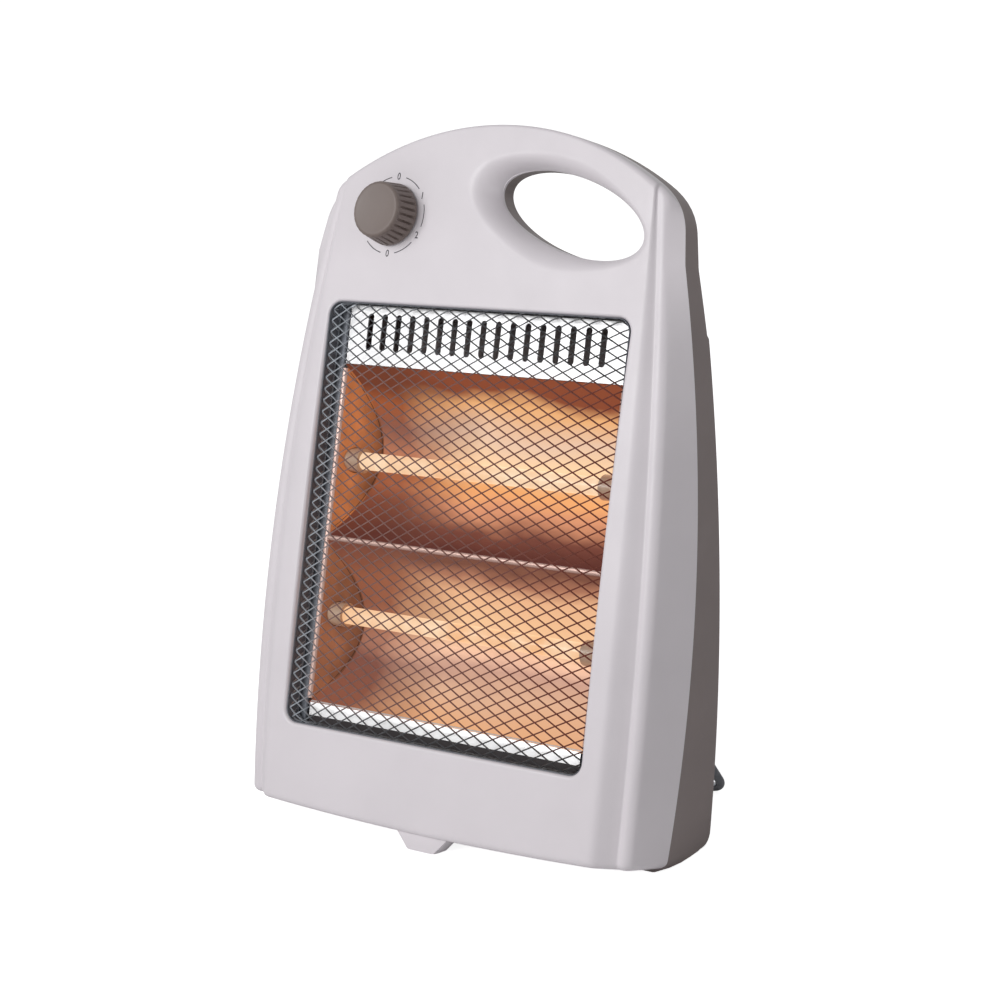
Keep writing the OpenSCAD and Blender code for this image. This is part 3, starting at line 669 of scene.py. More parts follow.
def bezier(p: Flat, corner: Flat, q: Flat, count: int) -> List[Flat]:
    """Points of a rounded corner from p to q."""
    out = []
    for t in (i / (count - 1) for i in range(count)):
        a, b, c = (1 - t) ** 2, 2 * t * (1 - t), t * t
        out.append((a * p[0] + b * corner[0] + c * q[0], a * p[1] + b * corner[1] + c * q[1]))
    return out


def ladder(start: float, stop: float, pitch: float) -> Iterator[float]:
    """Values from start up to stop, a pitch apart."""
    while start < stop:
        yield start
        start += pitch


def ease(t: float) -> float:
    """A soft step from 0 to 1 while t goes from 0 to 1."""
    t = min(max(t, 0.0), 1.0)
    return t * t * (3 - 2 * t)


def sag(radius: float, d: float) -> float:
    """How far a circle falls away at a distance d from its top."""
    return radius - math.sqrt(max(radius ** 2 - d * d, 0.0))


# ---- Form of the housings ------------------------------------------------------


@dataclass
class HousingForm:
    """The curves that both housings share."""

    side_half: float = 141.3
    side_mid: float = 60.0
    side_bow: float = 1350.0
    arch_top: float = 342.3
    arch_r: float = 197.0
    shoulder: float = 14.0
    chin: float = 48.4
    chin_rise: float = 2.9
    corner_r: float = 6.5
    face_bow: float = 2600.0
    face_mid: float = 105.0
    face_fwd: float = 1.7
    flat_half: float = 115.8
    facet_w: float = 12.7
    facet_drop: float = 8.1
    crest_r: float = 6.0
    step_w: float = 2.4
    step_d: float = 0.8
    seam_low: float = 39.2
    rim_top: float = 9.0
    handle_back: float = 30.0
    handle_slope: float = 0.23
    handle_level: float = 270.0
    ledge_z: float = 235.0
    ledge_d: float = 1.5
    back_slope: float = 0.1614068441
    back_r: float = 4.5
    heel_r: float = 9.0
    heel_z: float = -25.5
    draft: float = 0.6
    wall: float = 2.5
    brow_z: float = 300.6
    chin_half: float = 115.0
    flat_mid: float = 65.0
    flat_bow: float = 5600.0
    facet_fade: float = 0.000105
    drop_fade: float = 0.0204
    seam_mid: float = -60.0
    seam_bow: float = 0.000245
    ledge_soft: float = 2.2
    arch_only: float = 90.0

    @property
    def arch_mid(self) -> float:
        """Height of the arch's centre."""
        return self.arch_top - self.arch_r

    def face_y(self, z: float) -> float:
        """Depth of the bowed face."""
        return (z - self.face_mid) ** 2 / (2 * self.face_bow) - self.face_fwd

    def corner_in(self, z: float) -> float:
        """How far the lower corner is drawn in."""
        low = -self.chin + self.chin_rise + self.corner_r
        return sag(self.corner_r, min(max(low - z, 0.0), self.corner_r))

    def flank_x(self, z: float) -> float:
        """Half width between the bowed flanks."""
        return self.side_half - (z - self.side_mid) ** 2 / (2 * self.side_bow) - self.corner_in(z)

    def arch_x(self, z: float, inset: float = 0.0) -> float:
        """Half width under the arch."""
        if z < self.arch_mid:
            return self.arch_r - inset
        return math.sqrt(max((self.arch_r - inset) ** 2 - (z - self.arch_mid) ** 2, 0.0))

    def outline_x(self, z: float, inset: float = 0.0) -> float:
        """Half width of the housings at a height, at an inset inside the outer surface."""
        a, b = self.flank_x(z) - inset, self.arch_x(z, inset)
        return min(a, b) - max(self.shoulder - abs(a - b), 0.0) ** 2 / (4 * self.shoulder)

    def outline_z(self, x: float) -> float:
        """Height of the housings' top at a place across, level with the shoulders beyond them."""
        x = abs(x)
        if x < self.arch_only:
            return self.arch_mid + math.sqrt(self.arch_r ** 2 - x * x)
        low, high = self.brow_z, self.arch_top
        if self.outline_x(low) <= x:
            return low
        for _ in range(26):
            middle = (low + high) / 2
            if self.outline_x(middle) > x:
                low = middle
            else:
                high = middle
        return low

    def rim_gap(self, x: float, z: float) -> float:
        """Distance of a point of the face from the arch."""
        return self.arch_r - math.hypot(x, z - self.arch_mid) if z > self.arch_mid else 99.0

    def flat_x(self, z: float) -> float:
        """Half width of the flat field."""
        return self.flat_half - (z - self.flat_mid) ** 2 / self.flat_bow

    def facet(self, z: float) -> float:
        """Width of the slanting facet."""
        return max(self.facet_w - self.facet_fade * z * z, 3.0)

    def drop(self, z: float) -> float:
        """Depth of the facet's outer edge."""
        return max(self.facet_drop - self.drop_fade * z, 0.8)

    def step(self, z: float) -> float:
        """Depth of the step before the crest."""
        return self.step_d * self.drop(z) / self.facet_drop

    def seam_y(self, z: float) -> float:
        """Depth of the seam."""
        return max(self.seam_low - self.seam_bow * (z - self.seam_mid) ** 2, self.face_y(z) + self.rim_top)

    def back_flat(self, z: float) -> float:
        """Depth of the back, with the ledge under the handle softened."""
        high = self.handle_back + self.handle_slope * max(self.handle_level - z, 0.0)
        low = self.handle_back + self.handle_slope * (self.handle_level - self.ledge_z) + self.ledge_d
        low += self.back_slope * (self.ledge_z - z)
        s = ease((z - self.ledge_z + 0.6) / self.ledge_soft)
        return low * (1 - s) + high * s

    def back_y(self, z: float) -> float:
        """Depth of the back with its heel."""
        return self.back_flat(z) - sag(self.heel_r, min(max(self.heel_z - z, 0.0), self.heel_r))

    def floor_z(self, y: float) -> float:
        """Height of the floor."""
        return -FLOOR_DROP + y * math.tan(LEAN)

    def chin_z(self, x: float) -> float:
        """Height of the front housing's lower edge."""
        return -self.chin + self.chin_rise * (x / self.chin_half) ** 2

    def rim_push(self, x: float, z: float, radius: float) -> float:
        """How far a rim of some radius lies behind the flat surface near the arch."""
        return sag(radius, max(radius - max(self.rim_gap(x, z), 0.0), 0.0))


FORM = HousingForm()


@dataclass
class HandHole:
    """The oval hand hole with its soft scoop."""

    x: float = 49.8
    z: float = 294.4
    a: float = 53.2
    b: float = 20.6
    tilt: float = math.radians(-15.8)
    collar_back: float = 18.0
    count: int = 144

    def turned(self, px: float, pz: float) -> Flat:
        """A point of the hole's own axes as a point (x, z) of the face."""
        c, s = math.cos(self.tilt), math.sin(self.tilt)
        return (self.x + px * c - pz * s, self.z + px * s + pz * c)

    def loop(self, grow: float, count: int = 120) -> List[Flat]:
        """Points (x, z) round the hole, grown beyond its edge."""
        a, b = self.a + grow, self.b + grow
        return [self.turned(a * math.cos(t), b * math.sin(t)) for t in turns(count)]

    def scooped(self, part: float) -> List[Point]:
        """Points round the scoop at a part of its reach.

        Args:
            part: 0 at the hole's edge, 1 where the scoop runs out.

        Returns:
            Points (x, z) with the depth of the scoop there.
        """
        out = []
        for t in turns(self.count):
            c, s = math.cos(t), math.sin(t)
            reach, full = 10.0 - 5.5 * c - 1.4 * s, 7.0 - 4.4 * c
            far = 1.0 + part * reach / math.hypot(self.a * c, self.b * s)
            x, z = self.turned(self.a * c * far, self.b * s * far)
            out.append((x, z, full * max(1.0 - part, 0.0) ** 2.15))
        return out


HAND = HandHole()
SCREWS = [(s * x, z) for x, z in ((112.0, 258.0), (126.0, 120.0), (121.0, -8.0)) for s in SIDES]
WINDOW_HALF, WINDOW_H, WINDOW_R, CORNER_STEPS = 102.5, 240.0, 8.0, 10


def rounded_box(half_x: float, z0: float, z1: float, radius: float, steps: int = CORNER_STEPS) -> List[Flat]:
    """Outline (x, z) of a rounded rectangle, anticlockwise, with steps to each corner."""
    x, low, high = half_x - radius, z0 + radius, z1 - radius
    out = []
    for cx, cz, start in ((x, low, -90), (x, high, 0), (-x, high, 90), (-x, low, 180)):
        out += arc(cx, cz, radius, start, start + 90, steps)
    return out


def window_loop(grow: float, per_side: int = 1) -> List[Flat]:
    """The window's outline, grown, with its sides in per_side parts."""
    base = rounded_box(WINDOW_HALF + grow, -grow, WINDOW_H + grow, WINDOW_R + grow)
    out: List[Flat] = []
    for i, p in enumerate(base):
        out.append(p)
        if (i + 1) % (CORNER_STEPS + 1) == 0:
            out += line(p, base[(i + 1) % len(base)], per_side)[:-1]
    return out


def window_ring(name: str, plan: Sequence[Flat]) -> Object:
    """A closed ring round the window, from pairs of growth and depth."""
    return skin(name, [[(x, y, z) for x, z in window_loop(g)] for g, y in plan], wrap=True, ring=True)


def lathe(name: str, x: float, z: float, plan: Sequence[Flat], ring: bool = False) -> Object:
    """A turned piece about (x, z), from pairs of radius and depth."""
    return skin(name, [[(u, y, v) for u, v in disc(x, z, r, 24)] for r, y in plan], wrap=True, ring=ring)


def shell(name: str, rows: Sequence[Sequence[Point]], near: Point, side: int) -> Object:
    """A moulding's wall, laid inwards from its outer side.

    Args:
        name: The piece's name.
        rows: Rows of points on the outer side.
        near: A place on it.
        side: -1 where that place looks to the front, 1 where it looks back.

    Returns:
        The object.
    """
    cover = skin(name, rows, outward=False)
    face = min(cover.data.polygons, key=lambda p: (p.center - Vector(near)).length)
    if face.normal.y * side < 0:
        with editing(cover):
            bpy.ops.mesh.flip_normals()
    modify(cover, "SOLIDIFY", thickness=FORM.wall, offset=-1.0, use_even_offset=False)
    return cover


def keep_above_floor(obj: Object) -> None:
    """Lifts points of a housing that lie under the floor."""
    for vert in obj.data.vertices:
        vert.co.z = max(vert.co.z, FORM.floor_z(vert.co.y) + OFF_FLOOR)


@dataclass
class FrontCover(Piece):
    """Pale front moulding with its window, pillars and hand hole."""

    flat_steps: int = 26
    edge_r: float = 3.5
    lip_r: float = 2.0
    return_depth: float = 10.0
    knee_r: float = 3.4
    dip_r: float = 0.9
    level_z: float = -18.0
    arch_rows: int = 42
    arch_gaps: Sequence[float] = (0.0, 0.12, 0.35, 0.7, 1.15, 1.7, 2.4, 3.2, 4.2)
    node = "front_housing"

    def slice(self, z: float, inset: float) -> List[Flat]:
        """Right half of a level slice, from the middle to the seam.

        Args:
            z: The height.
            inset: How far inside the outer surface.

        Returns:
            Points (x, y).
        """
        f = FORM
        crest, y0, ys = f.flat_x(z) + f.facet(z), f.face_y(z), f.seam_y(z)
        yc = y0 + f.drop(z)
        edge = f.outline_x(min(z, f.brow_z), inset)
        bend = math.degrees(math.atan2(ys - yc - f.crest_r * 0.7, max(edge - crest - f.crest_r * 0.95, 0.3)))
        knee = (f.flat_x(z) - 0.2 * inset, y0 + inset)
        dip = (crest - f.step_w - 0.2 * inset, yc + f.step(z) + inset)
        top = (crest, yc + inset)
        span = math.dist(knee, dip)
        r1, r2 = min(self.knee_r, span * 0.42), min(self.dip_r, math.dist(dip, top) * 0.45, span * 0.3)
        start, into = (knee[0] - r1, knee[1]), towards(dip, knee, r2)
        out = [(start[0] * i / self.flat_steps, knee[1]) for i in range(self.flat_steps)]
        out += bezier(start, knee, towards(knee, dip, r1), 5)
        out.append(line(out[-1], into, 2)[0])
        out += bezier(into, dip, towards(dip, top, r2), 4)
        out += arc(crest, yc + f.crest_r, f.crest_r - inset, -90, min(bend, 88.0) - 90, 8)
        out += line(out[-1], (edge, ys), 6)
        return [(min(x, edge), min(y, ys)) for x, y in out]

    def plan(self) -> List[Tuple[Callable[[float], float], float, float]]:
        """The rows from the underside over the face and back along the arch.

        Returns:
            For each row its height at a place across, its inset and how far back it lies.
        """
        f, r, low = FORM, self.edge_r, -FORM.chin + self.edge_r
        plan = [(f.chin_z, r, back) for back in (1.0, 0.7, 0.4, 0.15)]
        for a in map(math.radians, (90, 70, 50, 30, 15, 0)):
            inset, lift = r * (1 - math.cos(a)), r * (1 - math.sin(a))
            plan.append((lambda x, lift=lift: f.chin_z(x) + lift, inset, 0.0))
        for z in ladder(low + 1.5, self.level_z, 1.6):
            part = min(max((self.level_z - z) / (self.level_z - low), 0.0), 1.0)
            plan.append((lambda x, z=z, part=part: z + (f.chin_z(x) + f.chin) * part, 0.0, 0.0))
        for z in ladder(self.level_z + 1.0, WINDOW_H, 3.6):
            plan.append((lambda x, z=z: z, 0.0, 0.0))
        under = self.arch_gaps[-1] + 1.6 + WINDOW_H
        for i in range(self.arch_rows):
            plan.append((lambda x, t=i / self.arch_rows: WINDOW_H + (f.outline_z(x) - under) * t, 0.0, 0.0))
        for gap in reversed(self.arch_gaps):
            plan.append((lambda x, gap=gap: f.outline_z(x) - gap, 0.0, 0.0))
        return plan + [(f.outline_z, 0.0, back) for back in (0.25, 0.5, 0.75, 1.0)]

    def rows(self) -> List[List[Point]]:
        """Rows of points over the whole moulding."""
        f, out = FORM, []
        for height, inset, back in self.plan():
            level = height(0.0) == height(100.0)
            right: List[Point] = []
            for j, (x, y) in enumerate(self.slice(height(0.0), inset)):
                z = height(x)
                for _ in range(0 if level else 5):
                    x, y = self.slice(z, inset)[j]
                    z = height(x)
                if z < 0.0:
                    y += (f.seam_y(z) - y) * back
                z = max(z, f.floor_z(y) + OFF_FLOOR)
                y = min(y + f.rim_push(x, z, 1.5 + 2.0 * min(x / 105.0, 1.0) ** 3), f.seam_y(z))
                if z > 0.0:
                    y += (f.seam_y(z) - y) * back
                right.append((x, y, z))
            out.append([(-x, y, z) for x, y, z in reversed(right[1:])] + right)
        return out

    def window_return(self) -> Object:
        """The window's rounded lip and return wall."""
        f, r, deep = FORM, self.lip_r, self.return_depth
        plan = [(r + 0.8, lambda z: f.face_y(z) + 0.04), (r, f.face_y)]
        for a in map(math.radians, (18, 36, 54, 72, 90)):
            plan.append((r * (1 - math.sin(a)), lambda z, a=a: f.face_y(z) + r * (1 - math.cos(a))))
        plan += [(0.0, lambda z: deep - 0.6), (0.4, lambda z: deep), (r, lambda z: deep),
                 (r + 0.8, lambda z: f.face_y(z) + f.wall)]
        loops = [[(x, depth(z), z) for x, z in window_loop(grow, 24)] for grow, depth in plan]
        return skin("window_return", loops, wrap=True, ring=True)

    def scoop(self) -> Object:
        """The soft scoop round the hand hole with the hole's wall."""
        face = FORM.face_y
        loops = [[(x, face(z) + 0.7, z) for x, z, _ in HAND.scooped(1.15)]]
        for part in (1.13, 1.08, 1.0, *(i / 100 for i in range(93, 15, -7)), 0.1, 0.05):
            loops.append([(x, face(z) + d - 0.03 * min(part, 1.0), z) for x, z, d in HAND.scooped(part)])
        edge, wall, outer = HAND.scooped(0.0), HAND.loop(-0.35, HAND.count), HAND.loop(2.2, HAND.count)
        for bite, deep in ((0.0, 0.06), (0.3, 0.3), (0.62, 0.7), (0.88, 1.2), (1.0, 1.9)):
            loops.append([(x + (wx - x) * bite, face(z) + d + deep, z + (wz - z) * bite)
                          for (x, z, d), (wx, wz) in zip(edge, wall)])
        loops += [[(x, HAND.collar_back, z) for x, z in ring] for ring in (wall, outer)]
        loops.append([(x, min(face(z) + d + 3.0, 17.2), z) for (x, z), (_, _, d) in zip(outer, edge)])
        for part in (0.4, 0.8, 1.1):
            loops.append([(x, min(face(z) + d + 2.2, 17.0), z) for x, z, d in HAND.scooped(part)])
        return skin("hand_scoop", loops, wrap=True, ring=True)

    def shape(self) -> Object:
        """The cover with its lip, scoop and screw posts."""
        f = FORM
        cover = shell("front_cover", self.rows(), (0, 0, 120), -1)
        keep_above_floor(cover)
        window = prism("window_cutter", window_loop(self.lip_r), -20.0, 30.0)
        hole = prism("hand_cutter", [(x, z) for x, z, _ in HAND.scooped(1.04)], -20.0, 60.0)
        cut(cover, join(window, hole, box("foot_cutter", (-18.0, 18.0), (-70.0, -44.0), (5.6, 15.6))))
        posts = [prism("screw_post", disc(x, z, 4.6, 28), f.face_y(z) + f.drop(z) + 1.5, f.seam_y(z) - 0.1)
                 for x, z in SCREWS]
        return join(cover, self.window_return(), self.scoop(), *posts)


@dataclass
class RearCover(Piece):
    """Dark back moulding with vents, the ledge, the sleeve of the hand hole and a flat base."""

    rim: float = 4.0
    well_half: float = 114.4
    well_top: float = 64.0
    well_y: float = 71.8369
    well_slope: float = 0.16653992
    low_top: float = -8.0
    low_rows: int = 14
    slot = Slot.DARK
    node = "rear_housing"

    def slice(self, z: float) -> List[Flat]:
        """Right half of a level slice, from the seam to the middle of the back."""
        f, r = FORM, FORM.back_r
        edge, yb = f.outline_x(z), f.back_y(z)
        out = [(edge, f.seam_y(z))]
        out += line(out[0], (max(edge - f.draft, 0.0), yb - r), 4)[:-1]
        out += [(max(x, 0.0), y) for x, y in arc(edge - f.draft - r, yb - r, r, 0, 90, 8)]
        k = min(out[-1][0] / 126.0, 1.0)
        across = (116.2, 115.7, 115.2, 114.7, 114.1, 113.6, 113.1, 112.6, *range(96, -1, -16))
        return out + [(x * k, yb - self.well(x * k, z, yb)) for x in across]

    def well(self, x: float, z: float, y: float) -> float:
        """How far the back is drawn in at (x, z) from depth y, where the stand folds."""
        deep = max(y - self.well_y + self.well_slope * z, 0.0)
        return deep * ease((self.well_half + 1.1 - x) / 2.2) * ease((self.well_top + 2.0 - z) / 4.0)

    def ground(self) -> List[Point]:
        """Where the right half of the walls stands on the floor."""
        out = []
        for j in range(len(self.slice(0.0))):
            z = -40.0
            for _ in range(20):
                x, y = self.slice(z)[j]
                z = FORM.floor_z(y) + OFF_FLOOR
            out.append((x - 0.5, y, z))
        return out

    def rows(self) -> List[List[Point]]:
        """Rows of points from the base up to the top of the arch."""
        f, ground = FORM, self.ground()
        heights = [z for z in ladder(self.low_top, 230.0, 4.0) if not 60.0 < z < 68.0]
        heights += [61.0, 62.0, 62.8, 63.6, 64.4, 65.2, 66.0, 67.0]
        heights += [231.0, 232.5, 233.6, 234.3, 234.8, 235.3, 235.8, 236.3, 237.0, 239.0, 243.0, 248.0, 254.0,
                    260.0, 266.0, 269.0, 271.0, 274.0, 279.0, 284.0]
        angles = [43.0 - 1.7 * i for i in range(23)] + [4.2, 3.2, 2.3, 1.5, 0.8, 0.3, 0.0]
        heights += [f.arch_mid + f.arch_r * math.cos(math.radians(a)) for a in angles]
        halves = [ground]
        for step in range(1, self.low_rows):
            part = (step / self.low_rows) ** 1.4
            rise = [low + (self.low_top - low) * part for _, _, low in ground]
            halves.append([(*self.slice(z)[j], z) for j, z in enumerate(rise)])
        for z in sorted(heights):
            halves.append([(x, max(min(y, f.back_y(z) - f.rim_push(x, z, self.rim)), f.seam_y(z)), z)
                           for x, y in self.slice(z)])
        return [right + [(-x, y, z) for x, y, z in reversed(right[:-1])] for right in halves]

    def base(self) -> Object:
        """The flat base between the walls."""
        right = [(x - 0.5, y - 0.4) for x, y, _ in self.ground()]
        outline = right + [(-x, y) for x, y in reversed(right[:-1])]
        slab = polygon("base", [(x, y, FORM.floor_z(y) + 0.12) for x, y in outline])
        return extruded(slab, (0.0, 0.0, 2.2))

    def sleeve(self) -> Object:
        """The wall of the hand hole in the back, with its rounded edge."""
        plan = [(3.4, 0.04), (2.4, -0.02), (1.5, 0.25), (0.75, 0.85), (0.2, 1.8), (0.0, 3.0), (0.0, None),
                (2.2, None), (3.4, 2.0)]
        loops = [[(x, HAND.collar_back + 0.1 if deep is None else FORM.back_flat(z) - deep, z)
                  for x, z in HAND.loop(grow)] for grow, deep in plan]
        return skin("hand_sleeve", loops, wrap=True, ring=True)

    def screw_sleeve(self, x: float, z: float) -> Object:
        """A tube that leads a screw in from the back."""
        y0, y1 = FORM.seam_y(z) + 0.1, FORM.back_flat(z) - 0.03
        plan = [(2.2, y0), (2.2, y0 + 2.9), (3.8, y0 + 2.9), (3.8, y1 - 0.7), (4.3, y1), (5.4, y1 - 0.2),
                (5.6, y1 - 1.5), (5.6, y0)]
        return lathe("screw_sleeve", x, z, plan, ring=True)

    def cutters(self) -> Object:
        """Everything that is cut out of the back, as one object."""
        vents = [(side * 42.0, 160.0 + row * 9.0, 32.0, 20.0) for row in range(7) for side in SIDES]
        vents += [(0.0, -2.0 + row * 9.0, 45.0, 40.0) for row in range(4)]
        parts = [prism("vent", [(x + u, z + v) for u, v in rounded_box(half, -2.0, 2.0, 1.9, 5)], y, y + 70.0)
                 for x, z, half, y in vents]
        parts += [prism("screw", disc(x, z, 4.6, 24), 0.0, 120.0) for x, z in SCREWS]
        return join(prism("hand_cutter", HAND.loop(2.0), -20.0, 60.0), *parts,
                    prism("inlet", disc(-62.0, 24.0, 5.6, 32), 50.0, 90.0))

    def shape(self) -> Object:
        """The back with its openings, sleeves and base."""
        cover = shell("rear_cover", self.rows(), (0, 50, 120), 1)
        cut(cover, self.cutters(), "MANIFOLD")
        keep_above_floor(cover)
        return join(cover, self.sleeve(), self.base(), *(self.screw_sleeve(x, z) for x, z in SCREWS))


@dataclass
class CaseScrews(Piece):
    """Screws that hold the back to the posts of the front, with crossed recesses."""

    head_r: float = 3.2
    head_h: float = 2.3
    shaft_r: float = 1.5
    length: float = 8.5
    slot = Slot.ZINC
    node = "housing_screws"
    smooth = 40.0

    def one(self, x: float, z: float) -> Object:
        """A screw in its sleeve."""
        seat = FORM.seam_y(z) + 3.0
        tip, top, r = seat - self.length, seat + self.head_h, self.head_r
        screw = lathe("case_screws", x, z, [
            (0.0, tip), (self.shaft_r * 0.5, tip), (self.shaft_r, tip + 1.4), (self.shaft_r, seat), (r, seat),
            (r, top - 0.9), (r - 0.4, top - 0.3), (r - 1.1, top), (0.0, top + 0.05)])
        for w, h in ((0.32, 1.7), (1.7, 0.32)):
            cut(screw, box("cross", (x - w, x + w), (z - h, z + h), (top - 1.2, top + 2.0)))
        return screw

    def shape(self) -> Object:
        """All six screws."""
        return join(*(self.one(x, z) for x, z in SCREWS))


@dataclass
class Guard(Piece):
    """Expanded-metal guard, its edge bent back into the window."""

    long: float = 12.05
    stretch: float = 0.0169
    short: float = 6.5
    strand: float = 0.62
    widen: float = 1.12
    half_t: float = 0.14
    thick: float = 0.5
    half_x: float = 98.8
    z0: float = 3.7
    z1: float = 236.3
    corner: float = 4.4
    bend: float = 3.0
    skirt: float = 5.8
    front: float = 1.95
    cells: int = 20
    per: int = 3
    slot = Slot.MESH
    node = "grille_mesh"
    smooth = 30.0

    @property
    def reach(self) -> float:
        """Width of the bent edge on the flat sheet."""
        return self.bend * math.pi / 2 + self.skirt

    def strand_row(self, phase: int, v: float) -> Object:
        """One zigzag strand along x, at height v; phase 0 or 1 says which way it starts."""
        w = self.strand / 2 * self.widen
        upper: List[Point] = []
        lower: List[Point] = []
        for i in range(-self.cells * self.per, self.cells * self.per + 1):
            cell, part = divmod(i, self.per)
            a = self.short / 4 * (1 if (cell + phase) % 2 == 0 else -1)
            z = v + a - 2 * a * part / self.per
            x = self.long / self.stretch * (math.exp(self.stretch * i / 2 / self.per) - 1.0)
            if abs(x) <= self.half_x + self.reach + 12.0:
                upper.append((x, -self.half_t, z + w))
                lower.append((x, self.half_t, z - w))
        return skin("guard", [upper, lower], outward=False)

    def bent(self, x: float, t: float, z: float) -> Tuple[Point, float]:
        """A point of the flat sheet after bending.

        Args:
            x: Place across the sheet.
            t: Distance behind its middle plane.
            z: Height on the sheet.

        Returns:
            The bent point and its distance beyond the flat field.
        """
        mid = (self.z0 + self.z1) / 2
        hx, hz = self.half_x - self.corner, (self.z1 - self.z0) / 2 - self.corner
        dx, dz = x, z - mid
        qx, qz = abs(dx) - hx, abs(dz) - hz
        if qx > 0 and qz > 0:
            dist = math.hypot(qx, qz)
            nx, nz = qx / dist, qz / dist
            bx, bz = hx + nx * self.corner, hz + nz * self.corner
            e = dist - self.corner
        elif qx > qz:
            nx, nz, bx, bz, e = 1.0, 0.0, self.half_x, abs(dz), qx - self.corner
        else:
            nx, nz, bx, bz, e = 0.0, 1.0, abs(dx), hz + self.corner, qz - self.corner
        if e <= 0:
            return (x, self.front + t, z), e
        phi = min(e / self.bend, math.pi / 2)
        out = (self.bend - t) * math.sin(phi)
        deep = self.bend * (1 - math.cos(phi)) + max(e - self.bend * math.pi / 2, 0.0)
        return (math.copysign(bx + nx * out, dx), self.front + deep + t * math.cos(phi),
                mid + math.copysign(bz + nz * out, dz)), e

    def shape(self) -> Object:
        """The guard with its flange."""
        rows = int((self.z1 - self.z0 + 2 * self.reach) / self.short) + 2
        low = (self.z0 + self.z1) / 2 - rows * self.short / 2
        guard = join(self.strand_row(0, low), self.strand_row(1, low + self.short / 2))
        modify(guard, "ARRAY", count=rows, use_relative_offset=False, use_constant_offset=True,
               constant_offset_displace=(0.0, 0.0, self.short))
        modify(guard, "SOLIDIFY", thickness=self.thick, offset=0.0)
        mesh = bmesh.new()
        mesh.from_mesh(guard.data)
        gone = []
        for vert in mesh.verts:
            vert.co, beyond = self.bent(*vert.co)
            if beyond > self.reach:
                gone.append(vert)
        bmesh.ops.delete(mesh, geom=gone, context="VERTS")
        mesh.to_mesh(guard.data)
        mesh.free()
        return join(guard, window_ring("flange", [(-0.9, 10.3), (4.5, 10.3), (4.5, 11.2), (-0.9, 11.2)]))


@dataclass
class ShadedGuardFrame(Piece):
    """The dark strip that lines the window round the guard: a frame for the guard whose dark grey is also
    painted shade for the inside of the window's return.
    """

    plan: Sequence[Flat] = ((-0.1, 1.6), (-0.1, 10.25), (-0.5, 10.25), (-0.5, 1.75))
    slot = Slot.MESH
    smooth = 30.0

    def shape(self) -> Object:
        """The strip."""
        return window_ring("shaded_guard_frame", self.plan)


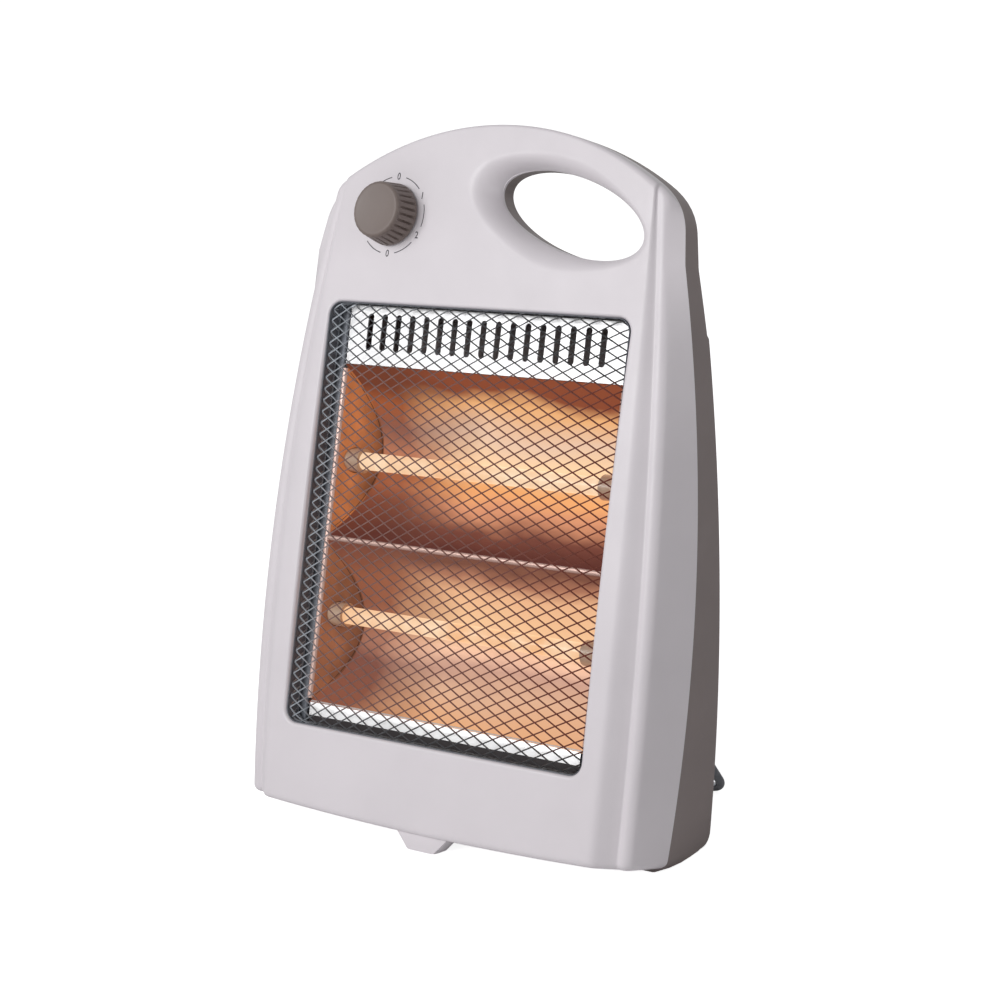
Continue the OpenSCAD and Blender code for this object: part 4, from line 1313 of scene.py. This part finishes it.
@dataclass
class Reflectors:
    """The two troughs with their end plates, lips and the divider."""

    half: float = 95.0
    front: float = 12.0
    deep: float = 26.0
    wall: float = 0.8
    slant: float = 0.5
    lower: Flat = (12.0, 92.0)
    upper: Flat = (108.0, 97.0)
    bar_y: float = 23.5
    bars: Flat = (63.0, 151.5)
    cap_r: float = 7.35

    def end_x(self, y: float) -> float:
        """Half width of the troughs at a depth."""
        return self.half - self.slant * (y - self.front)

    def point(self, z0: float, h: float, s: float, t: float = 0.0) -> Flat:
        """A point (y, z) of a trough's section."""
        return (self.front + self.deep * (1 - s * s) + t * (1 - s * s * 0.3),
                z0 + h / 2 + s * (h / 2 + t * abs(s)))

    def trough(self, name: str, z0: float, h: float) -> Object:
        """A curved trough between its end plates, with a mouth of height h from z0."""
        steps, across = 44, 16
        section = [self.point(z0, h, -1 + 2 * i / steps) for i in range(steps + 1)]
        rows = [[((self.end_x(y) - 0.1) * (-1 + 2 * j / across), y, z) for j in range(across + 1)]
                for y, z in section]
        obj = skin(name, rows, outward=False)
        looks_back = sum(p.normal.y * p.area for p in obj.data.polygons) > 0
        modify(obj, "SOLIDIFY", thickness=self.wall, offset=1.0 if looks_back else -1.0)
        return obj

    def end(self, side: int) -> Object:
        """An end plate with the holes for the caps, on the left (-1) or the right (1)."""
        steps, y0 = 24, self.front + 1.0
        outline = [(y0, self.lower[0] + 1.5)]
        for z0, h in (self.lower, self.upper):
            outline += [self.point(z0, h, -1 + 2 * i / steps, 0.2) for i in range(1, steps)]
        outline.append((y0, self.upper[0] + self.upper[1] - 1.5))
        plate = polygon("end_plates", [(side * self.end_x(y), y, z) for y, z in outline])
        modify(plate, "SOLIDIFY", thickness=self.wall, offset=0.0)
        tidy_mesh(plate)
        for z in self.bars:
            bpy.ops.object.select_all(action="DESELECT")
            bpy.ops.mesh.primitive_cylinder_add(vertices=40, radius=self.cap_r, depth=40.0,
                                                location=(side * self.half, self.bar_y, z),
                                                rotation=(0, math.pi / 2, 0))
            cutter = named("cap_cutter")
            bpy.ops.object.transform_apply(location=True, rotation=True, scale=True)
            cut(plate, cutter)
        bevel_edges(plate, 0.25, 2)
        return plate

    def gap(self, side: int, z0: float, h: float) -> Object:
        """The thin dark gap where a trough's end meets its plate."""
        rows = []
        for inside in (1.15, 0.8):
            places = [self.point(z0, h, -0.93 + 1.86 * i / 30) for i in range(31)]
            rows.append([(side * (self.end_x(y - inside) - 0.5), y - inside, z + (z0 + h / 2 - z) * 0.02)
                         for y, z in places])
        return sheet("plate_gaps", rows, 0.12)

    def lip(self, name: str, section: Sequence[Flat]) -> Object:
        """A folded strip along x, from its section (y, z)."""
        half = self.half - 1.0
        return sheet(name, [[(-half + 2 * half * j / 24, y, z) for j in range(25)] for y, z in section], 0.6)

    def upright(self, name: str, section: Sequence[Flat], span: Flat, steps: int, thick: float) -> Object:
        """A folded strip up the face.

        Args:
            name: Its name.
            section: Its section (x, y).
            span: Its lower end and its length.
            steps: Parts along it.
            thick: Its thickness.

        Returns:
            The object.
        """
        heights = [span[0] + span[1] * j / steps for j in range(steps + 1)]
        return sheet(name, [[(x, y, z) for z in heights] for x, y in section], thick)

    def build(self, finish: Dict[str, Material]) -> None:
        """Builds and dresses the reflector.

        Args:
            finish: The materials by name.
        """
        def put(obj: Object, name: str, smooth: float, slot: Slot = Slot.REFLECTOR, *nodes: str) -> None:
            """Dresses one part of it."""
            dress(obj, finish[name], Body.HOUSING, slot, nodes, smooth)

        bright = Slot.REFLECTOR
        put(self.trough("lower_trough", *self.lower), "lower_lit_sheet", 50.0, bright, "lower_reflector")
        put(self.trough("upper_trough", *self.upper), "upper_lit_sheet", 50.0, bright, "upper_reflector")
        put(join(*(self.end(side) for side in SIDES)), "painted_glow_plate", 30.0, bright, "reflector_ends")
        gaps = [self.gap(side, *mouth) for side in SIDES for mouth in (self.lower, self.upper)]
        put(join(*gaps), "shaded_sheet", 50.0)
        for s, label in zip(SIDES, ("left", "right")):
            fold = [(s * x, y) for x, y in ((94.2, 13.2), (94.5, 12.4), (95.2, 12.1), (96.6, 12.1))]
            put(self.upright(f"{label}_plate_lip", fold, (14.0, 189.0), 20, 0.5), "fold_sheet", 50.0)
            fold = [(s * x, y) for x, y in ((96.9, 13.6), (97.1, 12.9), (97.8, 12.6), (103.5, 12.6))]
            flange = self.upright(f"{label}_side_flange", fold, (1.0, 240.0), 24, 0.6)
            put(flange, "side_flange", 50.0, Slot.ZINC)
        z0, top = self.lower[0], sum(self.lower)
        for name, finish_name, z, section in (
                ("divider_lip", "fold_sheet", top, ((13.4, 0.6), (12.7, 0.9), (12.3, 1.3), (12.15, 1.9),
                                                    (12.15, 2.5), (12.4, 3.1), (13.0, 3.5))),
                ("lower_lip", "bright_sheet", z0, ((13.2, 0.7), (12.6, 0.3), (12.3, -0.4), (12.25, -3.5),
                                                   (12.25, -7.4))),
                ("lower_apron", "shaded_sheet", z0, ((12.6, -7.5), (12.7, -11.0), (12.9, -16.6)))):
            put(self.lip(name, [(y, z + dz) for y, dz in section]), finish_name, 60.0)


@dataclass
class Bars:
    """Quartz tubes with the wound coils inside."""

    y: float = 23.5
    heights: Flat = (63.0, 151.5)
    radius: float = 5.0
    bore: float = 3.8
    half: float = 92.0
    bevel: float = 0.3
    coil_r: float = 2.6
    wire: float = 0.42
    end_gap: float = 4.0
    turns: int = 52
    steps: int = 12

    def tube(self, name: str, z: float) -> Object:
        """A quartz tube at a height."""
        r, b, end = self.radius, self.bevel, self.half
        plan = [(self.bore, -end), (r - b, -end), (r, b - end)]
        plan += [(r, -end + 2 * end * i / 12) for i in range(1, 12)]
        plan += [(r, end - b), (r - b, end), (self.bore, end)]
        return skin(name, [[(x, u, v) for u, v in disc(self.y, z, radius, 40)] for radius, x in plan],
                    wrap=True, ring=True)

    def coil(self, name: str, z: float) -> Object:
        """A wound coil at a height."""
        half, total, loops = self.half - self.end_gap, self.turns * self.steps, []
        for i in range(total + 1):
            a = 2 * math.pi * i / self.steps
            x = -half + 2 * half * i / total
            loops.append([(x + dx, self.y + r * math.cos(a), z + r * math.sin(a))
                          for r, dx in disc(self.coil_r, 0.0, self.wire, 5)])
        return skin(name, loops, wrap=True)

    def build(self, quartz: Material, ember: Material) -> None:
        """Builds and dresses both bars.

        Args:
            quartz: Finish of the tubes.
            ember: Finish of the coils.
        """
        for at, z in zip(("lower", "upper"), self.heights):
            dress(self.tube(f"{at}_tube", z), quartz, Body.HOUSING, Slot.QUARTZ, [f"{at}_quartz_tube"], 50.0)
            dress(self.coil(f"{at}_coil", z), ember, Body.HOUSING, Slot.COIL, [f"{at}_heating_coil"], 60.0)


@dataclass
class Dial:
    """Ribbed knob and the printed scale round it."""

    x: float = -66.6
    z: float = 290.2
    base_r: float = 17.7
    face_r: float = 15.1
    height: float = 15.5
    gap: float = 0.8
    ribs: int = 28
    per: int = 10
    notch_half: float = 0.17
    notch_deep: float = 1.75
    round_r: float = 2.0
    ring_r: float = 21.9
    line: float = 0.5
    arcs: Sequence[Tuple[int, int]] = ((76, 44), (17, -16), (-43, -77), (103, 136), (-103, -136))
    figures: Sequence[Tuple[str, int]] = (("0", 90), ("1", 31), ("2", -30), ("0", -90))
    size: float = 5.6

    def out(self, u: float, v: float, h: float) -> Point:
        """A point h out of the face, u across and v up it from the dial's middle."""
        slope = math.atan((self.z - FORM.face_mid) / FORM.face_bow)
        c, s = math.cos(slope), math.sin(slope)
        return (self.x + u, FORM.face_y(self.z) - h * c + v * s, self.z + v * c + h * s)

    def profile(self) -> List[Point]:
        """The knob's radius, height and depth of ribs, from its back to the middle of its face."""
        r, low, top = self.base_r, self.gap, self.gap + self.height
        slim = (r - self.face_r - 0.7) / (self.height - 2.4)
        plan = [(0.0, low, 0.0), (r - 3.0, low, 0.0), (r - 0.5, low, 0.0), (r - 0.1, low + 0.2, 0.0),
                (r, low + 0.6, 0.0), (r, low + 1.3, 0.0)]
        start = low + 1.5
        for i in range(13):
            t = i / 12
            h = start + (top - self.round_r - start) * t
            deep = min(1.0, t * 9.0) * (1.0 - 0.55 * t) * min(1.0, (1.0 - t) * 7.0 + 0.12)
            plan.append((r - slim * (h - start), h, deep))
        r = plan[-1][0]
        for a in map(math.radians, (20, 40, 60, 80, 90)):
            c = math.cos(a)
            plan.append((r - self.round_r * (1 - c), top - self.round_r * (1 - math.sin(a)), 0.1 * c))
        return plan + [(r - 3.2, top - 0.12, 0.0), (r - 6.0, top - 0.3, 0.0), (r * 0.3, top - 0.42, 0.0),
                       (0.0, top - 0.45, 0.0)]

    def knob(self) -> Object:
        """The knob: a ribbed skirt that tapers to a plain, softly dished face."""
        count, loops = self.ribs * self.per, []
        for radius, h, deep in self.profile():
            loop = []
            for i in range(count):
                a = 2 * math.pi * (i + 0.5) / count
                notch = max(1.0 - (abs(i % self.per / self.per - 0.5) / self.notch_half) ** 2, 0.0)
                r = max(radius - self.notch_deep * deep * notch, 0.0)
                loop.append(self.out(r * math.cos(a), r * math.sin(a), h))
            loops.append(loop)
        return skin("knob", loops, wrap=True)

    def printed(self, u: float, v: float) -> Point:
        """A point of the print, which lies on the bowed face."""
        return (self.x + u, FORM.face_y(self.z + v) - 0.05, self.z + v)

    def arc(self, start: float, end: float) -> Object:
        """A printed arc between two angles in degrees."""
        steps = max(4, int(abs(end - start) / 3))
        rows = [[self.printed(u, v) for u, v in arc(0.0, 0.0, r, start, end, steps)]
                for r in (self.ring_r - self.line / 2, self.ring_r + self.line / 2)]
        return skin("dial_print", rows, outward=False)

    def figure(self, text: str, angle: float) -> Object:
        """A printed figure, upright on the ring at an angle in degrees."""
        bpy.ops.object.select_all(action="DESELECT")
        bpy.ops.object.text_add()
        obj = bpy.context.active_object
        for key, value in (("body", text), ("size", self.size), ("align_x", "CENTER"), ("align_y", "CENTER"),
                           ("resolution_u", 6), ("offset", 0.03)):
            setattr(obj.data, key, value)
        only(obj)
        bpy.ops.object.convert(target="MESH")
        obj = bpy.context.active_object
        u, v = arc(0.0, 0.0, self.ring_r, angle, angle, 1)[0]
        for vert in obj.data.vertices:
            vert.co = self.printed(u + vert.co.x * 0.86, v + vert.co.y)
        return obj

    def build(self, plastic: Material, ink: Material) -> None:
        """Builds and dresses the knob and the print.

        Args:
            plastic: Finish of the knob.
            ink: Finish of the print.
        """
        dress(self.knob(), plastic, Body.KNOB, Slot.KNOB, ["control_knob"], 28.0)
        marks = [self.arc(*span) for span in self.arcs] + [self.figure(*mark) for mark in self.figures]
        scale = join(*marks)
        modify(scale, "SOLIDIFY", thickness=0.04, offset=0.0)
        dress(scale, ink, Body.HOUSING, Slot.SWITCH)


@dataclass
class TipFoot(Piece):
    """Tip-over foot under the front edge."""

    top_w: float = 34.2
    tip_w: float = 22.0
    thick: float = 9.0
    front: float = 6.08
    radius: float = 3.5
    top_r: float = 0.6
    sole: float = 0.12
    body = Body.FOOT
    node = "tip_foot"
    smooth = 35.0

    def shape(self) -> Object:
        """The tab below the edge, with its neck, flange and stem inside."""
        y0, y1 = self.front, self.front + self.thick
        top, low = -FORM.chin + 0.8, FORM.floor_z(y0 + self.thick / 2) - 0.6
        slope = math.degrees(math.atan2((self.top_w - self.tip_w) / 2, top - low))
        tip_x, top_x = self.tip_w / 2 - self.radius, self.top_w / 2 - self.top_r
        outline = arc(tip_x, low + self.radius, self.radius, -90, -slope, 8)
        outline += arc(top_x, top - self.top_r, self.top_r, -slope, 90, 8)
        outline += arc(-top_x, top - self.top_r, self.top_r, 90, 180 + slope, 8)
        outline += arc(-tip_x, low + self.radius, self.radius, 180 + slope, 270, 8)
        foot = prism("foot_tab", outline, y0, y1)
        with editing(foot):
            bpy.ops.mesh.bisect(plane_co=(0.0, 0.0, -FLOOR_DROP + self.sole), use_fill=True, clear_inner=True,
                                plane_no=(0.0, -math.sin(LEAN), math.cos(LEAN)))
        bevel_edges(foot, 1.0, 4)
        parts = [box("foot_neck", (-17, 17), (-FORM.chin - 0.2, -40.2), (y0 + 0.02, y1 - 0.02)),
                 box("foot_flange", (-21, 21), (-43.2, -40.2), (y0, y1)),
                 box("foot_stem", (-6, 6), (-41, -22.1), (y0 + 1.5, y1 - 1.5))]
        for part in parts:
            bevel_edges(part, 0.5, 2)
        return join(foot, *parts)


@dataclass
class WireStand(Piece):
    """Folding stand bent from one wire."""

    wire: float = 2.5
    half: float = 108.5
    pivot: Flat = (70.509, 40.887)
    reach: float = 138.9
    bend: float = 9.0
    turn_in: float = 6.0
    end_x: float = 89.0
    body = Body.STAND
    slot = Slot.CHROME
    node = "wire_stand"
    smooth = 50.0

    def path(self, length: float) -> List[Point]:
        """The wire's points (x, along the legs) with its heading, from the right end to the left."""
        path: List[Point] = [(self.end_x, 0.0, 0.0), (self.end_x + 0.1, 0.0, 0.0)]
        for inset, y, r, start in ((self.turn_in, self.turn_in, self.turn_in, -90),
                                   (self.bend, length - self.bend, self.bend, 0)):
            headings = [math.radians(start + 90 * i / 10) + math.pi / 2 for i in range(11)]
            points = arc(self.half - inset, y, r, start, start + 90, 10)
            path += [(px, py, a) for (px, py), a in zip(points, headings)]
        return path + [(-x, y, 3 * math.pi - a) for x, y, a in reversed(path)]

    def shape(self) -> Object:
        """The stand as it stands out from the back."""
        py, pz = self.pivot
        bz = FORM.floor_z(self.reach) + self.wire / math.cos(LEAN)
        path = self.path(math.hypot(self.reach - py, bz - pz))
        down = math.atan2(bz - pz, self.reach - py)
        c, s = math.cos(down), math.sin(down)
        loops = []
        for index, (x, y, a) in enumerate(path):
            r = self.wire - 0.35 if index in (0, len(path) - 1) else self.wire
            side = -1 if index >= len(path) // 2 else 1
            ring = []
            for u, w in disc(0.0, 0.0, r, 24):
                fx, fy = x + math.sin(a) * side * u, y - math.cos(a) * side * u
                ring.append((fx, py + fy * c - w * s, pz + fy * s + w * c))
            loops.append(ring)
        right, left = ([(x, py + y * c, pz + y * s)] * 24 for x, y, _ in (path[0], path[-1]))
        return skin("stand_wire", [right, *loops[:-1], left, loops[-1]], wrap=True)


@dataclass
class Carried:
    """CAD nodes that stay, each with its own finish."""

    finishes: Dict[str, Material]

    def build(self) -> None:
        """Hands each node its finish."""
        for name, material in self.finishes.items():
            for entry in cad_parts[name].material_slots:
                entry.link = "OBJECT"
                entry.material = material
            log.info("%s: keeps its shape, finish %s", name, material.name)


@dataclass
class Studio:
    """Camera, lamps, floor and plain white surroundings."""

    place: Point = (0.81344697, -1.01747802, 0.54535580)
    turn: Point = (1.2951369947988247, 0.08904846578201342, 0.6379750216215261)
    lens: float = 88.66141621577063
    aim: Point = (0.0, 0.0, 0.18)
    ambient: float = 0.27
    mirrored: float = 0.75
    floor_boost: float = 0.85

    def stand(self, name: str, data: bpy.types.ID, place: Point, turn: Sequence[float]) -> Object:
        """Puts a camera or a lamp at a place, turned by Euler angles."""
        obj = bpy.data.objects.new(name, data)
        obj.location = place
        obj.rotation_euler = turn
        bpy.context.scene.collection.objects.link(obj)
        return obj

    def camera(self) -> None:
        """Adds the camera."""
        data = bpy.data.cameras.new("camera")
        data.lens = self.lens
        data.sensor_width = 36.0
        data.sensor_fit = "HORIZONTAL"
        data.clip_start = 0.05
        bpy.context.scene.camera = self.stand("camera", data, self.place, self.turn)

    def lamp(self, name: str, place: Point, size: float, power: float) -> None:
        """Adds a soft square lamp aimed at the heater.

        Args:
            name: Its name.
            place: Where it stands.
            size: Its side.
            power: Its power in watts.
        """
        data = bpy.data.lights.new(name, "AREA")
        data.shape = "SQUARE"
        data.size = size
        data.energy = power
        aim = Vector(self.aim) - Vector(place)
        self.stand(name, data, place, aim.to_track_quat("-Z", "Y").to_euler())

    def surroundings(self) -> None:
        """Plain pale world: white where it is seen or mirrored, dimmer as light."""
        world = bpy.data.worlds.new("surroundings")
        bpy.context.scene.world = world
        world.use_nodes = True
        graph = Graph(world.node_tree)
        rays = graph.add("LightPath").outputs
        seen = graph.calc("MAXIMUM", rays["Is Camera Ray"], rays["Is Transmission Ray"])
        glossy = graph.calc("MULTIPLY", rays["Is Glossy Ray"], self.mirrored)
        level = graph.add("MapRange", To_Min=self.ambient, To_Max=1.0,
                          Value=graph.calc("MAXIMUM", seen, glossy)).outputs["Result"]
        back = graph.nodes["Background"].inputs
        graph.put(back["Color"], (1.0, 1.0, 1.0, 1.0))
        graph.put(back["Strength"], level)

    def floor(self) -> None:
        """Pale floor that keeps the heater's shadow."""
        bpy.ops.object.select_all(action="DESELECT")
        bpy.ops.mesh.primitive_grid_add(x_subdivisions=8, y_subdivisions=8, size=14.0)
        obj = named("floor")
        tree = Tree("floor_paint")
        greys = [(position, (level, level, level, 1.0)) for position, level in ((0.3, 0.86), (0.7, 0.88))]
        seen = tree.add("LightPath").outputs["Is Camera Ray"]
        tree.feed(Base_Color=tree.ramp(tree.noise(3.0, 2.0), greys), Roughness=0.85, Specular_IOR_Level=0.1,
                  Emission_Color=(1.0, 1.0, 1.0, 1.0),
                  Emission_Strength=tree.calc("MULTIPLY", seen, self.floor_boost))
        obj.data.materials.append(tree.material)

    def build(self) -> None:
        """Builds the studio."""
        self.camera()
        self.surroundings()
        self.floor()
        self.lamp("key", (-0.95, -2.2, 1.5), 1.3, 39.0)
        self.lamp("fill", (2.1, -0.5, 0.9), 1.4, 5.0)
        bpy.context.scene.view_settings.view_transform = "Standard"


FINISHES: Sequence[Finish] = (
    Moulded("pale_moulding", (226, 220, 225), rough=0.4, depth=0.00003),
    Moulded("dark_moulding", (136, 125, 124), rough=0.5, grain=1200.0, depth=0.00008, mottle=0.05),
    Moulded("knob_moulding", (118, 105, 100), rough=0.45, grain=1500.0, mottle=0.04),
    Moulded("ink", (52, 51, 60), rough=0.6, mottle=0.08),
    Moulded("black_moulding", (48, 46, 48), rough=0.5, mottle=0.06),
    # Dark grey of the guard's frame, which also stands as painted shade inside the window's return.
    Moulded("shaded_guard_lining", (104, 107, 115), rough=0.4, grain=1400.0, mottle=0.1),
    Moulded("shaded_sheet", (46, 38, 40), rough=0.6, grain=1400.0, mottle=0.15),
    Moulded("rubber", (62, 58, 58), rough=0.7, mottle=0.08),
    Moulded("sleeve", (150, 52, 40), rough=0.6, mottle=0.08),
    Moulded("ceramic", (206, 176, 150), rough=0.3, mottle=0.08, coat=0.3),
    GlowLitWire("guard_wire"),
    Wire("zinc_steel", (182, 184, 188), rough=0.36),
    Wire("chrome_wire", (150, 152, 158), rough=0.2),
    Sheet("bright_sheet", (250, 250, 251), rough=0.4, metal=0.55),
    Sheet("fold_sheet", (226, 192, 180), rough=0.35, metal=0.4),
    Sheet("side_flange", (120, 124, 132), rough=0.45, metal=0.4),
    Sheet("shield_sheet", (190, 192, 196), rough=0.36),
    # Painted glow of the reflectors in bands; the first stops are the dim ones for the left end, the second
    # the lit ones.
    Glow("upper_lit_sheet", 108.0, 205.0, (
        (0.0, (90, 45, 38)), (0.2, (124, 68, 50)), (0.36, (160, 90, 58)), (0.5, (176, 112, 82)),
        (0.66, (140, 90, 74)), (0.8, (160, 88, 52)), (0.9, (112, 60, 42))), (
        (0.0, (84, 38, 34)), (0.12, (116, 62, 50)), (0.24, (220, 150, 112)), (0.36, (242, 172, 110)),
        (0.5, (248, 208, 164)), (0.66, (238, 202, 174)), (0.84, (242, 182, 124)), (0.93, (140, 72, 46)))),
    Glow("lower_lit_sheet", 12.0, 104.0, (
        (0.0, (146, 88, 66)), (0.3, (126, 78, 66)), (0.48, (170, 114, 88)), (0.64, (146, 90, 68)),
        (0.8, (152, 92, 66)), (0.95, (120, 72, 58))), (
        (0.0, (238, 178, 130)), (0.2, (226, 180, 148)), (0.34, (196, 152, 132)), (0.46, (236, 188, 156)),
        (0.6, (244, 200, 156)), (0.8, (236, 184, 142)), (0.9, (176, 120, 94)), (0.98, (116, 72, 58)))),
    PaintedGlowPlate("painted_glow_plate", (190, 112, 64), (154, 94, 62)),
    Ember("hot_quartz", (246, 190, 140), (253, 220, 184), 0.92),
    Ember("hot_coil", (255, 176, 110), (255, 214, 160), 1.3),
)

CARRIED = {
    "bright_sheet": "vent_strip",
    "zinc_steel": "end_brackets bar_terminals switch_shaft switch_bracket stand_screws reflector_screws "
                  "shield_screws",
    "ceramic": "upper_end_caps lower_end_caps terminal_block",
    "black_moulding": "rotary_switch tip_switch",
    "shield_sheet": "heat_shield",
    "rubber": "cord_gland",
    "sleeve": "wiring",
    "dark_moulding": "stand_clips",
}


def main() -> None:
    """Builds every sub-assembly in order."""
    logging.basicConfig(level=logging.INFO, format="%(name)s %(message)s")
    Studio().build()
    finish = {item.name: item.build() for item in FINISHES}
    FrontCover().build(finish["pale_moulding"])
    RearCover().build(finish["dark_moulding"])
    CaseScrews().build(finish["zinc_steel"])
    Guard().build(finish["guard_wire"])
    ShadedGuardFrame().build(finish["shaded_guard_lining"])
    Reflectors().build(finish)
    Bars().build(finish["hot_quartz"], finish["hot_coil"])
    Dial().build(finish["knob_moulding"], finish["ink"])
    TipFoot().build(finish["pale_moulding"])
    WireStand().build(finish["chrome_wire"])
    Carried({node: finish[name] for name, nodes in CARRIED.items() for node in nodes.split()}).build()

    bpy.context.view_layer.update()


if __name__ == "__main__":
    main()
